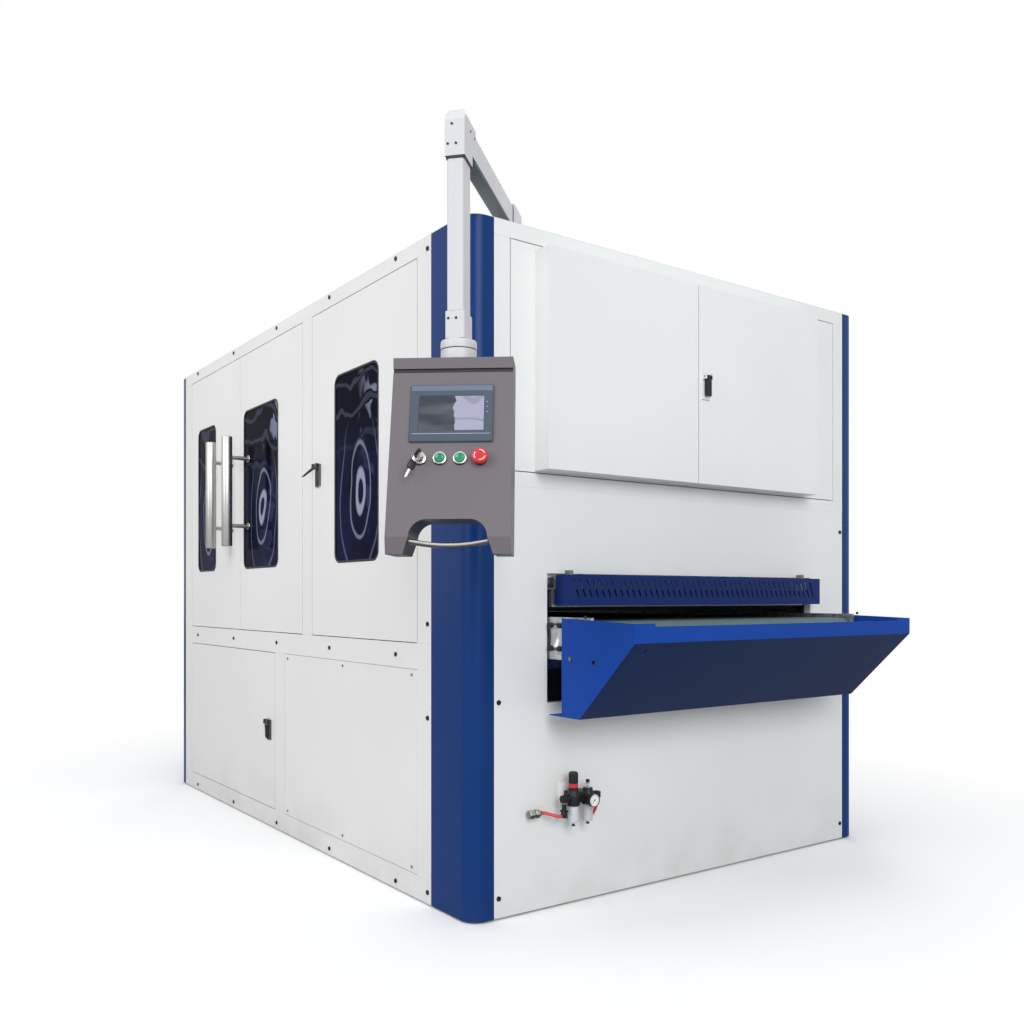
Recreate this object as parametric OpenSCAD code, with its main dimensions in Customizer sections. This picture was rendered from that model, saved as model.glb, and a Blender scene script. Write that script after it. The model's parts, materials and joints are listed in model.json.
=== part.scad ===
// Sheet metal deburring machine: a sanding belt and two flap brushes above a lifting conveyor table.
// The origin is on the floor in the middle of the four anchor holes.
// +X is to the right seen from the infeed, +Y runs from infeed to outfeed, +Z is up.

/* [Cabinet] */
// Width over the corner columns
width = 1858; // [1830:2:1900]
// Length between the front and rear faces
depth = 2760; // [2740:5:2800]
// Height of the cabinet
height = 2100; // [2090:2:2130]
// Thickness of the outer sheets
sheet = 2; // [1.5:0.5:3]
// Distance from the outer faces to the frame
panel_depth = 30; // [28:1:34]
// Width of a corner column on the front and rear
column_front_w = 84; // [76:1:90]
// Width of a front corner column on the side
column_side_w = 223; // [190:1:240]
// Width of a rear corner column on the side
column_rear_w = 84; // [76:1:90]
// Outer bend radius of the columns
column_r = 55; // [40:1:70]
// Height of the sheets above the floor
floor_gap = 6; // [4:1:10]
// Top of the lower front panel
front_seam_z = 1303; // [1290:1:1320]

/* [Frame] */
// Side of the square frame tube
tube = 80; // [70:2:84]
// Wall of the frame tube
tube_wall = 4; // [3:0.5:6]
// Height of the top rails
top_tube = 50; // [46:1:54]
// Height of the frame above the floor
base_z = 60; // [50:1:70]
// Side of a foot plate
foot_w = 120; // [110:1:124]
// Thickness of a foot plate
foot_t = 16; // [12:1:20]
// Radius of the levelling stud
stud_r = 12; // [10:0.5:14]
// Radius of an anchor hole
anchor_r = 9; // [7:0.5:10]
// Distance of an anchor hole from the stud, inwards each way
anchor_shift = 38; // [34:1:42]

/* [Doors] */
// Gap round every door
door_gap = 3; // [2.9:0.1:4]
// Depth of a door
door_depth = 25; // [22:1:26]
// Radius of a hinge pin
pin_r = 3; // [2.5:0.5:3]
// Length of a hinge pin outside the door
pin_reach = 17; // [14:1:22]
// Radial clearance of the hinge pins
pin_clearance = 0.05; // [0.03:0.01:0.08]
// Bottom of the side doors
side_door_z = 822; // [815:1:835]
// Distance from the roof to the top of the side doors
side_door_drop = 55; // [50:1:80]
// Corner radius of the windows
window_r = 35; // [20:1:50]
// Thickness of the window panes
pane_t = 5; // [3:0.5:8]
// Cover of a pane behind the window's edge
pane_lap = 18; // [12:1:24]
// Radius of the pull handles
pull_r = 23; // [15:1:26]
// Length of the pull handles
pull_len = 480; // [400:5:600]
// Distance of a pull handle's centre from the door
pull_reach = 98; // [80:1:120]
// Width of the left cabinet door
cabinet_left_w = 735; // [700:1:760]
// Width of the strips beside the cabinet doors
cabinet_stile = 58; // [47:1:72]
// Bottom of the cabinet doors
cabinet_z = 1350; // [1345:1:1360]
// Distance from the roof to the top of the cabinet doors
cabinet_drop = 53; // [50:1:80]
// Height of the raised box on the cabinet doors
raised_d = 70; // [40:1:90]

/* [Conveyor] */
// Distance from the cabinet's sides to the feed openings
side_bay = 284; // [276:1:284]
// Bottom of the feed openings
opening_z = 639; // [620:1:650]
// Top of the feed openings
opening_top = 1040; // [1036:1:1056]
// Height of the belt's working surface
belt_top = 890; // [884:1:892]
// Distance from the belt's edges to the sides of the feed openings
belt_side_gap = 30; // [26:1:45]
// Thickness of the conveyor belt
belt_t = 3.7; // [3:0.1:5]
// Radius of the conveyor rollers
roller_r = 46; // [40:1:50]
// Distance of a conveyor roller's centre outside the cabinet
roller_out = 155; // [140:1:165]
// Radius of a conveyor roller's shaft
roller_shaft_r = 20; // [15:0.5:22]
// Radial clearance of a shaft in its bearing
shaft_clearance = 0.05; // [0.03:0.01:0.08]
// Gap between a belt and what carries it
belt_gap = 0.3; // [0.2:0.05:0.5]
// Thickness of the table's side plates
side_plate_t = 12; // [8:1:16]
// Height of the side plates over the belt
side_plate_rise = 15; // [10:1:20]
// Height of the side plates
side_plate_h = 130; // [120:1:140]
// Radius of a lifting screw
screw_r = 20; // [15:0.5:24]
// Distance of the lifting screws inside the table's side plates
jack_side = 99; // [70:1:130]
// Distance of the lifting screws from the front and rear faces
jack_end = 580; // [480:5:680]
// Height of a jack housing's body
jack_h = 120; // [100:1:150]
// Side of a jack housing's body
jack_w = 130; // [110:1:150]
// Radius of a jack housing's guide tube
jack_tube_r = 40; // [34:1:48]
// Top of the guide tube over the body
jack_tube_h = 120; // [100:1:140]

/* [Feed trays] */
// Thickness of the tray sheet
tray_t = 3; // [2:0.5:4]
// Reach of the trays past the sides of the feed openings
tray_lap = 14; // [11:1:20]
// Reach of a tray from the cabinet
tray_reach = 411; // [380:1:440]
// Height of the tray's cheeks over the belt
cheek_rise = 13; // [8:1:20]
// Drop from the belt to the bottom of a tray
tray_drop = 285; // [260:1:300]

/* [Infeed guard] */
// Distance from the guard's ends to the sides of the feed opening
guard_side_gap = 29; // [24:1:40]
// Height of the guard
guard_h = 96; // [80:1:96]
// Depth of the guard
guard_d = 58; // [50:1:62]
// Number of slots in the guard
guard_slots = 45; // [20:1:46]
// Slant of a slot in degrees
slot_slant = 22; // [0:1:26]

/* [Processing head] */
// Lowest point of belt and brushes at rest
head_bottom = 922; // [921:1:940]
// Radius of the contact drum and of the tension roller
drum_r = 123; // [110:1:130]
// Thickness of the sanding belt
sanding_t = 1.7; // [1:0.1:2.5]
// Distance from the sanding belt's edges to the head's beams
head_side_gap = 75; // [65:5:120]
// Distance of the sanding belt from the front face
sanding_back = 740; // [720:5:760]
// Distance from the roof to the tension roller's axis
tension_drop = 363; // [348:1:413]
// Radius of a flap brush
brush_r = 125; // [110:1:130]
// Radius of a brush's core
brush_core_r = 70; // [55:1:80]
// Number of flaps on a brush
brush_flaps = 24; // [12:1:32]
// Distance between the two brushes
brush_pitch = 690; // [660:5:720]
// Distance of the second brush from the rear face
brush_end = 415; // [400:5:440]
// Radius of the head shafts
head_shaft_r = 30; // [25:1:35]
// Radius of a press roller
press_r = 45; // [40:1:47]
// Radius of a press roller's shaft
press_shaft_r = 15; // [12:1:18]

/* [Control pendant] */
// Distance of the arm's pivot from the cabinet's left side
arm_base_in = 294; // [270:2:330]
// Distance of the arm's pivot from the front face
arm_base_back = 205; // [180:5:230]
// Reach of the arm from its pivot to the drop tube
arm_reach = 637; // [620:1:650]
// Direction of the arm in degrees
arm_angle = 221.8; // [210:0.2:230]
// Width of the arm tube
arm_w = 46; // [44:1:70]
// Height of the arm tube
arm_h = 73; // [60:1:80]
// Height of the arm tube's middle over the roof
arm_rise = 83; // [80:1:95]
// Width of the console
console_w = 311; // [304:1:340]
// Height of the console
console_h = 513; // [505:1:550]
// Top of the console
console_top = 1585; // [1560:1:1610]
// Direction of the console in degrees
console_yaw = 39; // [30:1:60]
// Depth of the console at its top
console_d = 110; // [100:1:120]
// How far the console's face leans out at its bottom
console_lean = 124; // [100:1:130]

/* [Air service unit] */
// Distance of the regulator from the cabinet's left side
regulator_in = 352; // [340:1:366]
// Distance between regulator and lubricator
frl_pitch = 58; // [54:1:64]
// Height of the air unit's middle
frl_z = 345; // [330:1:370]
// Radius of an air hose
hose_r = 5; // [4:0.5:6]

/* [Hidden] */
$fn = 48;

// Overrun of a cut past the face that it opens
over = 1;
// Gap at a seam between two pieces of one node
seam = 0.3;
// Half sizes and frame planes
half_w = width / 2;
half_d = depth / 2;
frame_x = half_w - panel_depth;
frame_y = half_d - panel_depth;
frame_in_x = frame_x - tube;
frame_in_y = frame_y - tube;
roof_z = height - sheet;
top_rail_z = roof_z - top_tube;
side_door_top = height - side_door_drop;
cabinet_top = height - cabinet_drop;
arm_z = height + arm_rise;
base_top = base_z + tube;
foot_x = frame_x - tube / 2;
foot_y = frame_y - tube / 2;

// Left side outlines, measured from the front face
single_door_y = 310;
single_door_w = 800;
side_stile = 95;
double_door_y = single_door_y + single_door_w + side_stile;
double_door_end = 185;
double_leaf_w = (depth - double_door_end - double_door_y - door_gap) / 2;
lower_door_end = 183;
lower_stile = 105;
lower_door_z = 84;
lower_door_top = 733;
lower_cover_y = 310;
lower_cover_w = 1070;
lower_door_far_y = depth - lower_door_end;
lower_door_w = lower_door_far_y - lower_cover_y - lower_cover_w - lower_stile;
mid_post_y = double_door_y - side_stile / 2 - half_d;
mid_rail_z = 738;

// Windows in the side doors, measured from the hinge edge and the door's bottom
window_z = 274;
window_above = 269;
window_h = side_door_top - side_door_z - window_z - window_above;
single_window_x = 263;
single_window_w = 335;
double_window_x = 248;
double_window_edge = 48.5;
double_window_w = double_leaf_w - double_window_x - double_window_edge;
rear_window_x = 105;
rear_window_share = 0.367;
rear_window_w = double_leaf_w * rear_window_share;
double_window_above = 255;
double_window_h = side_door_top - side_door_z - window_z - double_window_above;

// Hinge places in a door
hinge_in = 5;
hinge_back = 5.5;
bracket_w = 20;
bracket_h = 14;

// Conveyor table
belt_half = roller_r + belt_gap + belt_t;
roller_z = belt_top - belt_half;
roller_y = half_d + roller_out;
plate_gap = 6;
opening_w = width - 2 * side_bay;
belt_w = opening_w - 2 * belt_side_gap;
plate_x = opening_w / 2 - plate_gap;
plate_in_x = plate_x - side_plate_t;
plate_top = belt_top + side_plate_rise;
plate_z = plate_top - side_plate_h;
plate_end = 45;
bed_t = 6;
bed_tube_w = 50;
bed_tube_h = 70;
table_beam_w = 100;
table_beam_h = 80;
jack_x = plate_x - jack_side;
jack_y = half_d - jack_end;
tray_w = opening_w + 2 * tray_lap;
roller_face_margin = 5;
roller_face_w = belt_w + 2 * roller_face_margin;

// Head
drum_z = head_bottom + drum_r + belt_gap + sanding_t;
brush_z = head_bottom + brush_r;
tension_z = height - tension_drop;
sanding_y = -half_d + sanding_back;
brush_2_y = half_d - brush_end;
brush_1_y = brush_2_y - brush_pitch;
beam_side_gap = 45;
beam_in_x = opening_w / 2 + beam_side_gap;
sanding_w = 2 * (beam_in_x - head_side_gap);
beam_w = 60;
beam_z = 1110;
beam_h = 160;
beam_x = beam_in_x + beam_w;
// Gap between a shaft's end and the drive guards
shaft_end_gap = 1;
shaft_half = beam_x - shaft_end_gap;
press_z = head_bottom + press_r;
press_in = 78;
press_y = half_d - press_in;
press_block_w = 58;
press_block_x = beam_in_x - press_block_w;
press_block_drop = 25;
press_block_z = press_z - press_block_drop;
arm_base_x = half_w - arm_base_in;
arm_base_y = half_d - arm_base_back;

function along(from, to, share) = from + (to - from) * share;

module both_x() {
  children();
  mirror([1, 0, 0]) children();
}

module both_y() {
  children();
  mirror([0, 1, 0]) children();
}

// A block from its lowest to its highest corner
module block(lo, hi) {
  translate(lo) cube(hi - lo);
}

// A hollow box section from its lowest to its highest corner, open along one axis
module box_tube(lo, hi, axis, wall = tube_wall) {
  inset = [for (i = [0:2]) i == axis ? -over : wall];
  difference() {
    block(lo, hi);
    block(lo + inset, hi - inset);
  }
}

// A plate with rounded corners, its low corner at the origin
module rounded_outline(w, h, r) {
  translate([r, 0]) square([w - 2 * r, h]);
  translate([0, r]) square([w, h - 2 * r]);
  for (x = [r, w - r], y = [r, h - r]) {
    translate([x, y]) circle(r);
  }
}

// The four faces of the cabinet: u runs to the right seen from outside, the outer face is at y = 0
module on_front() {
  translate([0, -half_d, 0]) children();
}

module on_rear() {
  translate([0, half_d, 0]) rotate([0, 0, 180]) children();
}

module on_left() {
  translate([-half_w, 0, 0]) rotate([0, 0, -90]) children();
}

module on_right() {
  translate([half_w, 0, 0]) rotate([0, 0, 90]) children();
}

// A folded sheet pan with its returns towards the frame
module pan(u0, u1, z0, z1, deep = panel_depth) {
  difference() {
    block([u0, 0, z0], [u1, deep, z1]);
    block([u0 + sheet, sheet, z0 + sheet], [u1 - sheet, deep + over, z1 - sheet]);
  }
}

// An upright pan between two rails
module stile(u0, u1, z0, z1) {
  pan(u0, u1, z0 + seam, z1 - seam);
}

// A horizontal rod
module rod_x(r, x0, x1, y, z) {
  translate([x0, y, z]) rotate([0, 90, 0]) cylinder(r = r, h = x1 - x0);
}

/* Frame */

module base_frame() color([0.30, 0.33, 0.38]) {
  both_x() {
    box_tube([frame_in_x, -frame_y, base_z], [frame_x, frame_y, base_top], 1);
    box_tube([frame_in_x, -frame_y, top_rail_z], [frame_x, frame_y, roof_z], 1);
    for (y = [-foot_y, mid_post_y, foot_y]) {
      box_tube([frame_in_x, y - tube / 2, base_top + seam], [frame_x, y + tube / 2, top_rail_z - seam], 2);
    }
    box_tube([frame_in_x, -frame_in_y + seam, mid_rail_z],
      [frame_x, mid_post_y - tube / 2 - seam, mid_rail_z + tube], 1);
    box_tube([frame_in_x, mid_post_y + tube / 2 + seam, mid_rail_z],
      [frame_x, frame_in_y - seam, mid_rail_z + tube], 1);
  }
  cross_x = frame_in_x - seam;
  for (y = [-foot_y, -jack_y, jack_y, foot_y]) {
    box_tube([-cross_x, y - tube / 2, base_z], [cross_x, y + tube / 2, base_top], 0);
  }
  for (y = [-foot_y, -arm_base_y, mid_post_y, foot_y]) {
    box_tube([-cross_x, y - tube / 2, top_rail_z], [cross_x, y + tube / 2, roof_z], 0);
  }
  box_tube([-cross_x, -frame_y, beam_z + beam_h], [cross_x, -frame_in_y, cabinet_z - header_drop], 0);
}

// The cabinet box sits a little below its doors
header_drop = 5;

module foot_plates() color([0.45, 0.47, 0.50]) both_x() both_y() {
  difference() {
    union() {
      block([frame_x - foot_w, frame_y - foot_w, 0], [frame_x, frame_y, foot_t]);
      translate([foot_x, foot_y, 0]) cylinder(r = stud_r, h = base_z);
    }
    translate([foot_x - anchor_shift, foot_y - anchor_shift, -over]) {
      cylinder(r = anchor_r, h = foot_t + 2 * over);
    }
  }
}

/* Outer sheets */

// Plan of a bent column with its corner at the origin and returns at both ends
module column_outline(front_w, side_w) {
  inner_r = column_r - sheet;
  translate([column_r, 0]) square([front_w - column_r, sheet]);
  translate([0, column_r]) square([sheet, side_w - column_r]);
  translate([front_w - sheet, 0]) square([sheet, panel_depth]);
  translate([0, side_w - sheet]) square([panel_depth, sheet]);
  intersection() {
    square(column_r);
    translate([column_r, column_r]) difference() {
      circle(column_r);
      circle(inner_r);
    }
  }
}

module corner_columns() color([0.06, 0.19, 0.45]) both_x() {
  translate([-half_w, -half_d, floor_gap]) linear_extrude(roof_z - floor_gap) {
    column_outline(column_front_w, column_side_w);
  }
  translate([-half_w, half_d, floor_gap]) mirror([0, 1, 0]) linear_extrude(roof_z - floor_gap) {
    column_outline(column_front_w, column_rear_w);
  }
}

front_edge = half_w - column_front_w;

module feed_opening() {
  block([-opening_w / 2, -over, opening_z], [opening_w / 2, panel_depth + over, opening_top]);
}

// Sheet returns at the sides and the bottom of a feed opening
module opening_returns() {
  edge = opening_w / 2 + sheet;
  for (u = [-edge, edge - sheet]) {
    block([u, 0, opening_z - sheet], [u + sheet, panel_depth, opening_top]);
  }
  block([-edge, 0, opening_z - sheet], [edge, panel_depth, opening_z]);
}

// The lower pan of the front or the rear, with its feed opening
module opening_pan() {
  difference() {
    pan(-front_edge, front_edge, floor_gap, front_seam_z);
    feed_opening();
  }
  opening_returns();
}

module front_lower_panel() color([0.90, 0.91, 0.90]) on_front() opening_pan();

cabinet_edge = front_edge - cabinet_stile;
cabinet_w = 2 * (cabinet_edge - door_gap);

// Clearance hole of a hinge pin through a return, at a hinge line on a face
module pin_hole(u, z) {
  translate([u, hinge_back, z - over]) cylinder(r = pin_r + pin_clearance, h = sheet + 2 * over);
}

module front_upper_panel() color([0.90, 0.91, 0.90]) on_front() {
  bottom = cabinet_z - door_gap;
  top = cabinet_top + door_gap;
  hinge_u = cabinet_w / 2 - hinge_in;
  difference() {
    union() {
      pan(-front_edge, front_edge, front_seam_z, bottom);
      pan(-front_edge, front_edge, top, roof_z);
    }
    for (u = [-hinge_u, hinge_u]) {
      pin_hole(u, bottom - sheet);
      pin_hole(u, top);
    }
  }
  both_x() pan(cabinet_edge, front_edge, bottom + seam, top - seam);
}

// Places along the left side as u, from distances behind the front face
function left_u(y) = half_d - y;

single_hinge_u = left_u(single_door_y) - hinge_in;
front_leaf_u = left_u(double_door_y) - hinge_in;
double_far_y = double_door_y + 2 * double_leaf_w + door_gap;
rear_leaf_u = left_u(double_far_y) + hinge_in;
lower_hinge_u = left_u(lower_door_far_y) + hinge_in;

module left_rails() {
  low = left_u(depth - column_rear_w);
  high = left_u(column_side_w);
  lower_top = lower_door_top + door_gap;
  upper_low = side_door_z - door_gap;
  upper_top = side_door_top + door_gap;
  difference() {
    union() {
      pan(low, high, floor_gap, lower_door_z - door_gap);
      pan(low, high, lower_top, upper_low);
      pan(low, high, upper_top, roof_z);
    }
    pin_hole(lower_hinge_u, lower_door_z - door_gap - sheet);
    pin_hole(lower_hinge_u, lower_top);
    for (u = [single_hinge_u, front_leaf_u, rear_leaf_u]) {
      pin_hole(u, upper_low - sheet);
      pin_hole(u, upper_top);
    }
  }
  stile(left_u(single_door_y) + door_gap, high, upper_low, upper_top);
  stile(left_u(double_door_y) + door_gap, left_u(single_door_y + single_door_w) - door_gap, upper_low, upper_top);
  stile(low, left_u(double_far_y) - door_gap, upper_low, upper_top);
  stile(left_u(lower_cover_y), high, lower_door_z - door_gap, lower_top);
  stile(left_u(lower_door_far_y - lower_door_w) + door_gap, left_u(lower_cover_y + lower_cover_w),
    lower_door_z - door_gap, lower_top);
  stile(low, left_u(lower_door_far_y) - door_gap, lower_door_z - door_gap, lower_top);
}

module right_rails() {
  low = -left_u(column_side_w);
  high = -left_u(depth - column_rear_w);
  pan(low, high, floor_gap, lower_door_z - door_gap);
  pan(low, high, lower_door_top + door_gap, side_door_z - door_gap);
  pan(low, high, side_door_top + door_gap, roof_z);
}

module side_rails() color([0.90, 0.90, 0.89]) {
  on_left() left_rails();
  on_right() right_rails();
}

module rear_panel() color([0.90, 0.91, 0.90]) on_rear() {
  opening_pan();
  pan(-front_edge, front_edge, front_seam_z + seam, roof_z);
}

right_covers = 3;
cover_gap = 1.5;

module screwed_covers() color([0.89, 0.89, 0.88]) {
  lower_low = lower_door_z - door_gap;
  lower_high = lower_door_top + door_gap;
  on_left() {
    pan(left_u(lower_cover_y + lower_cover_w) + cover_gap, left_u(lower_cover_y) - cover_gap,
      lower_low + cover_gap, lower_high - cover_gap);
  }
  on_right() {
    low = -left_u(column_side_w);
    high = -left_u(depth - column_rear_w);
    for (i = [0:right_covers - 1]) {
      u0 = along(low, high, i / right_covers) + cover_gap / 2;
      u1 = along(low, high, (i + 1) / right_covers) - cover_gap / 2;
      pan(u0, u1, lower_low + cover_gap, lower_high - cover_gap);
      pan(u0, u1, side_door_z - door_gap + cover_gap, side_door_top + door_gap - cover_gap);
    }
  }
}

spigot_r = 75;
spigot_h = 120;
spigot_flange = 25;

module spigot_places() {
  for (y = [sanding_y + spigot_shift, brush_1_y, brush_2_y]) {
    translate([0, y, 0]) children();
  }
}

// The first spigot stands behind the sanding belt
spigot_shift = 120;

module roof_panel() color([0.88, 0.89, 0.88]) {
  difference() {
    translate([-half_w, -half_d, roof_z]) linear_extrude(sheet) {
      rounded_outline(width, depth, column_r);
    }
    translate([0, 0, roof_z - over]) spigot_places() cylinder(r = spigot_r - sheet, h = sheet + 2 * over);
  }
}

module dust_spigots() color([0.55, 0.57, 0.58]) translate([0, 0, roof_z + sheet]) spigot_places() {
  difference() {
    union() {
      cylinder(r = spigot_r, h = spigot_h);
      cylinder(r = spigot_r + spigot_flange, h = sheet);
    }
    translate([0, 0, -over]) cylinder(r = spigot_r - sheet, h = spigot_h + 2 * over);
  }
}

// Screws: low round heads on the sheets
screw_head_r = 8;
screw_head_t = 4;

module face_screws(places) {
  for (p = places) {
    translate([p[0], 0, p[1]]) rotate([90, 0, 0]) cylinder(r = screw_head_r, h = screw_head_t);
  }
}

rail_gaps = 4;
first_screw = 448;
last_screw = 280;
screw_pitch = (depth - first_screw - last_screw) / rail_gaps;

module panel_screws() color([0.16, 0.17, 0.19]) {
  rail_zs = [floor_gap + 3 * screw_head_r, mid_rail_z + tube / 2, height - 2 * screw_head_r];
  rail_places = [for (z = rail_zs, i = [0:rail_gaps]) [left_u(first_screw + i * screw_pitch), z]];
  corner_y = column_side_w + 2.5 * screw_head_r;
  cover_places = [
    for (z = [lower_door_z + 2 * screw_head_r, lower_door_top - 2 * screw_head_r], share = [0.03, 0.5, 0.97])
      [left_u(lower_cover_y + lower_cover_w * share), z]
  ];
  on_left() {
    face_screws(rail_places);
    face_screws(cover_places);
    face_screws([for (share = [0.02, 0.28, 0.42, 0.98]) [left_u(corner_y), height * share]]);
  }
  on_right() {
    face_screws([for (p = rail_places) [-p[0], p[1]]]);
  }
  edge = front_edge - 2 * screw_head_r;
  for (side = [0, 1]) {
    rotate([0, 0, 180 * side]) on_front() {
      face_screws([for (u = [-edge, edge], share = [0.05, 0.5, 0.94]) [u, front_seam_z * share]]);
    }
  }
}

// Bored blocks behind the returns for the hinge pins
module hinge_block(u, z) {
  difference() {
    block([u - bracket_w / 2, sheet, z], [u + bracket_w / 2, sheet + bracket_w, z + bracket_h]);
    translate([u, hinge_back, z - over]) cylinder(r = pin_r + pin_clearance, h = bracket_h + 2 * over);
  }
}

module hinge_pair(u, low, high) {
  hinge_block(u, low - door_gap - sheet - bracket_h);
  hinge_block(u, high + door_gap + sheet);
}

guard_drop = 4;
guard_w = opening_w - 2 * guard_side_gap;
guard_top = opening_top - guard_drop;
guard_pivot_out = 14;
guard_pivot_drop = 9;
guard_pivot_z = guard_top - guard_pivot_drop;
guard_post_rise = 15;
guard_post_wall = 4;
guard_pin_r = 5;
guard_post_w = 16;
guard_post_in = 49;
guard_post_x = guard_w / 2 - guard_post_in;

module hinge_brackets() color([0.20, 0.21, 0.23]) {
  hinge_u = cabinet_w / 2 - hinge_in;
  on_front() {
    hinge_pair(-hinge_u, cabinet_z, cabinet_top);
    hinge_pair(hinge_u, cabinet_z, cabinet_top);
    for (u = [-guard_post_x, guard_post_x]) guard_post(u);
  }
  on_left() {
    for (u = [single_hinge_u, front_leaf_u, rear_leaf_u]) {
      hinge_pair(u, side_door_z, side_door_top);
    }
    hinge_pair(lower_hinge_u, lower_door_z, lower_door_top);
  }
}

// Post on the front panel that carries the guard's hinge rod
module guard_post(u) {
  wrap = guard_pin_r + guard_post_wall;
  difference() {
    block([u - guard_post_w / 2, -guard_pivot_out - wrap, guard_pivot_z - wrap],
      [u + guard_post_w / 2, 0, guard_top + guard_post_rise]);
    rod_x(guard_pin_r + pin_clearance, u - guard_post_w, u + guard_post_w, -guard_pivot_out, guard_pivot_z);
  }
}

/* Doors */

// A folded door pan, hinge edge at u = 0, with its pins
module door_leaf(w, h) {
  pan(0, w, 0, h, door_depth);
  for (z = [-sheet - pin_reach, h - sheet]) {
    translate([hinge_in, hinge_back, z]) cylinder(r = pin_r, h = pin_reach + 2 * sheet);
  }
}

module window_cut(x, w, h) {
  translate([x, sheet + over, window_z]) rotate([90, 0, 0]) linear_extrude(sheet + 2 * over) {
    rounded_outline(w, h, window_r);
  }
}

module window_pane(x, w, h) {
  translate([x - pane_lap, sheet, window_z - pane_lap]) cube([w + 2 * pane_lap, pane_t, h + 2 * pane_lap]);
}

module at_single_door() {
  on_left() translate([left_u(single_door_y), 0, side_door_z]) mirror([1, 0, 0]) children();
}

module at_front_leaf() {
  on_left() translate([left_u(double_door_y), 0, side_door_z]) mirror([1, 0, 0]) children();
}

module at_rear_leaf() {
  on_left() translate([left_u(double_far_y), 0, side_door_z]) children();
}

module at_lower_door() {
  on_left() translate([left_u(lower_door_far_y), 0, lower_door_z]) children();
}

side_door_h = side_door_top - side_door_z;
lower_door_h = lower_door_top - lower_door_z;
cabinet_h = cabinet_top - cabinet_z;

module single_door() color([0.91, 0.91, 0.90]) at_single_door() {
  difference() {
    door_leaf(single_door_w, side_door_h);
    window_cut(single_window_x, single_window_w, window_h);
  }
  latch_plate(latch_x, latch_z);
}

module single_door_window() color([0.05, 0.06, 0.12, 0.6]) at_single_door() {
  window_pane(single_window_x, single_window_w, window_h);
}

module double_door_front() color([0.91, 0.91, 0.90]) at_front_leaf() difference() {
  door_leaf(double_leaf_w, side_door_h);
  window_cut(double_window_x, double_window_w, double_window_h);
}

module double_door_front_window() color([0.05, 0.06, 0.12, 0.6]) at_front_leaf() {
  window_pane(double_window_x, double_window_w, double_window_h);
}

module double_door_rear() color([0.91, 0.91, 0.90]) at_rear_leaf() difference() {
  door_leaf(double_leaf_w, side_door_h);
  window_cut(rear_window_x, rear_window_w, double_window_h);
}

module double_door_rear_window() color([0.05, 0.06, 0.12, 0.6]) at_rear_leaf() {
  window_pane(rear_window_x, rear_window_w, double_window_h);
}

// Pull handle with two standoffs, in door coordinates; base is how deep the standoffs are seated
pull_edge = 103;
pull_z = 366;
standoff_r = 9;
standoff_shares = [0.19, 0.81];
// Depth of the flat on a handle where its standoff meets it
standoff_seat = 3;

module pull_handle(x, base) {
  standoff_len = pull_reach - pull_r + standoff_seat - seam + base;
  translate([x, -pull_reach, pull_z]) difference() {
    cylinder(r = pull_r, h = pull_len);
    for (share = standoff_shares) {
      translate([-pull_r, pull_r - standoff_seat, pull_len * share - 2 * standoff_r]) {
        cube([2 * pull_r, pull_r, 4 * standoff_r]);
      }
    }
  }
  for (share = standoff_shares) {
    translate([x, base, pull_z + pull_len * share]) rotate([90, 0, 0]) {
      cylinder(r = standoff_r, h = standoff_len);
    }
  }
}

module double_door_front_handle() color([0.78, 0.77, 0.75]) at_front_leaf() {
  pull_handle(double_leaf_w - pull_edge, sheet);
}

module double_door_rear_handle() color([0.78, 0.77, 0.75]) at_rear_leaf() {
  pull_handle(double_leaf_w - pull_edge, 0);
}

// Locks: a plate on the door and a lever hinged on a pin across its two ears
latch_w = 38;
latch_h = 88;
latch_t = 6;
latch_in = 57;
latch_x = single_door_w - latch_in;
latch_z = 564;
ear_w = 4;
ear_reach = 16;
ear_h = 20;
ear_axis_out = 9;
ear_axis_drop = 12;
lever_pin_r = 3;
lever_w = 24;
lever_t = 9;
lever_len = 66;

module latch_plate(x, z) {
  block([x - latch_w / 2, -latch_t, z], [x + latch_w / 2, 0, z + latch_h]);
  for (side = [-1, 1]) {
    ear = x + side * (lever_w / 2 + sheet + ear_w / 2);
    difference() {
      block([ear - ear_w / 2, -latch_t - ear_reach, z + latch_h - ear_h],
        [ear + ear_w / 2, -latch_t, z + latch_h]);
      rod_x(lever_pin_r + pin_clearance, ear - ear_w, ear + ear_w,
        -latch_t - ear_axis_out, z + latch_h - ear_axis_drop);
    }
  }
}

// The lever hangs from its pin; swing is how far it stands out at rest
module latch_lever(x, z, swing) {
  translate([x, -latch_t - ear_axis_out, z + latch_h - ear_axis_drop]) {
    rod_x(lever_pin_r, -lever_w / 2 - sheet - ear_w, lever_w / 2 + sheet + ear_w, 0, 0);
    rotate([-swing, 0, 0]) {
      block([-lever_w / 2, -lever_t / 2, -lever_len], [lever_w / 2, lever_t / 2, 0]);
      rod_x(lever_t / 2 + sheet, -lever_w / 2, lever_w / 2, 0, 0);
    }
  }
}

latch_rest_angle = 50;

module single_door_latch() color([0.10, 0.10, 0.12]) at_single_door() {
  latch_lever(latch_x, latch_z, latch_rest_angle);
}

lower_lock_x = lower_door_w - latch_in;
lower_lock_z = 281;

module lower_door() color([0.91, 0.91, 0.90]) at_lower_door() {
  door_leaf(lower_door_w, lower_door_h);
  latch_plate(lower_lock_x, lower_lock_z);
}

module lower_door_lock() color([0.10, 0.10, 0.12]) at_lower_door() {
  latch_lever(lower_lock_x, lower_lock_z, 0);
}

raised_side = 91;
raised_right_side = 189;
raised_low = 4;
raised_high = 17;
cabinet_right_w = cabinet_w - cabinet_left_w - door_gap;

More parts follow.
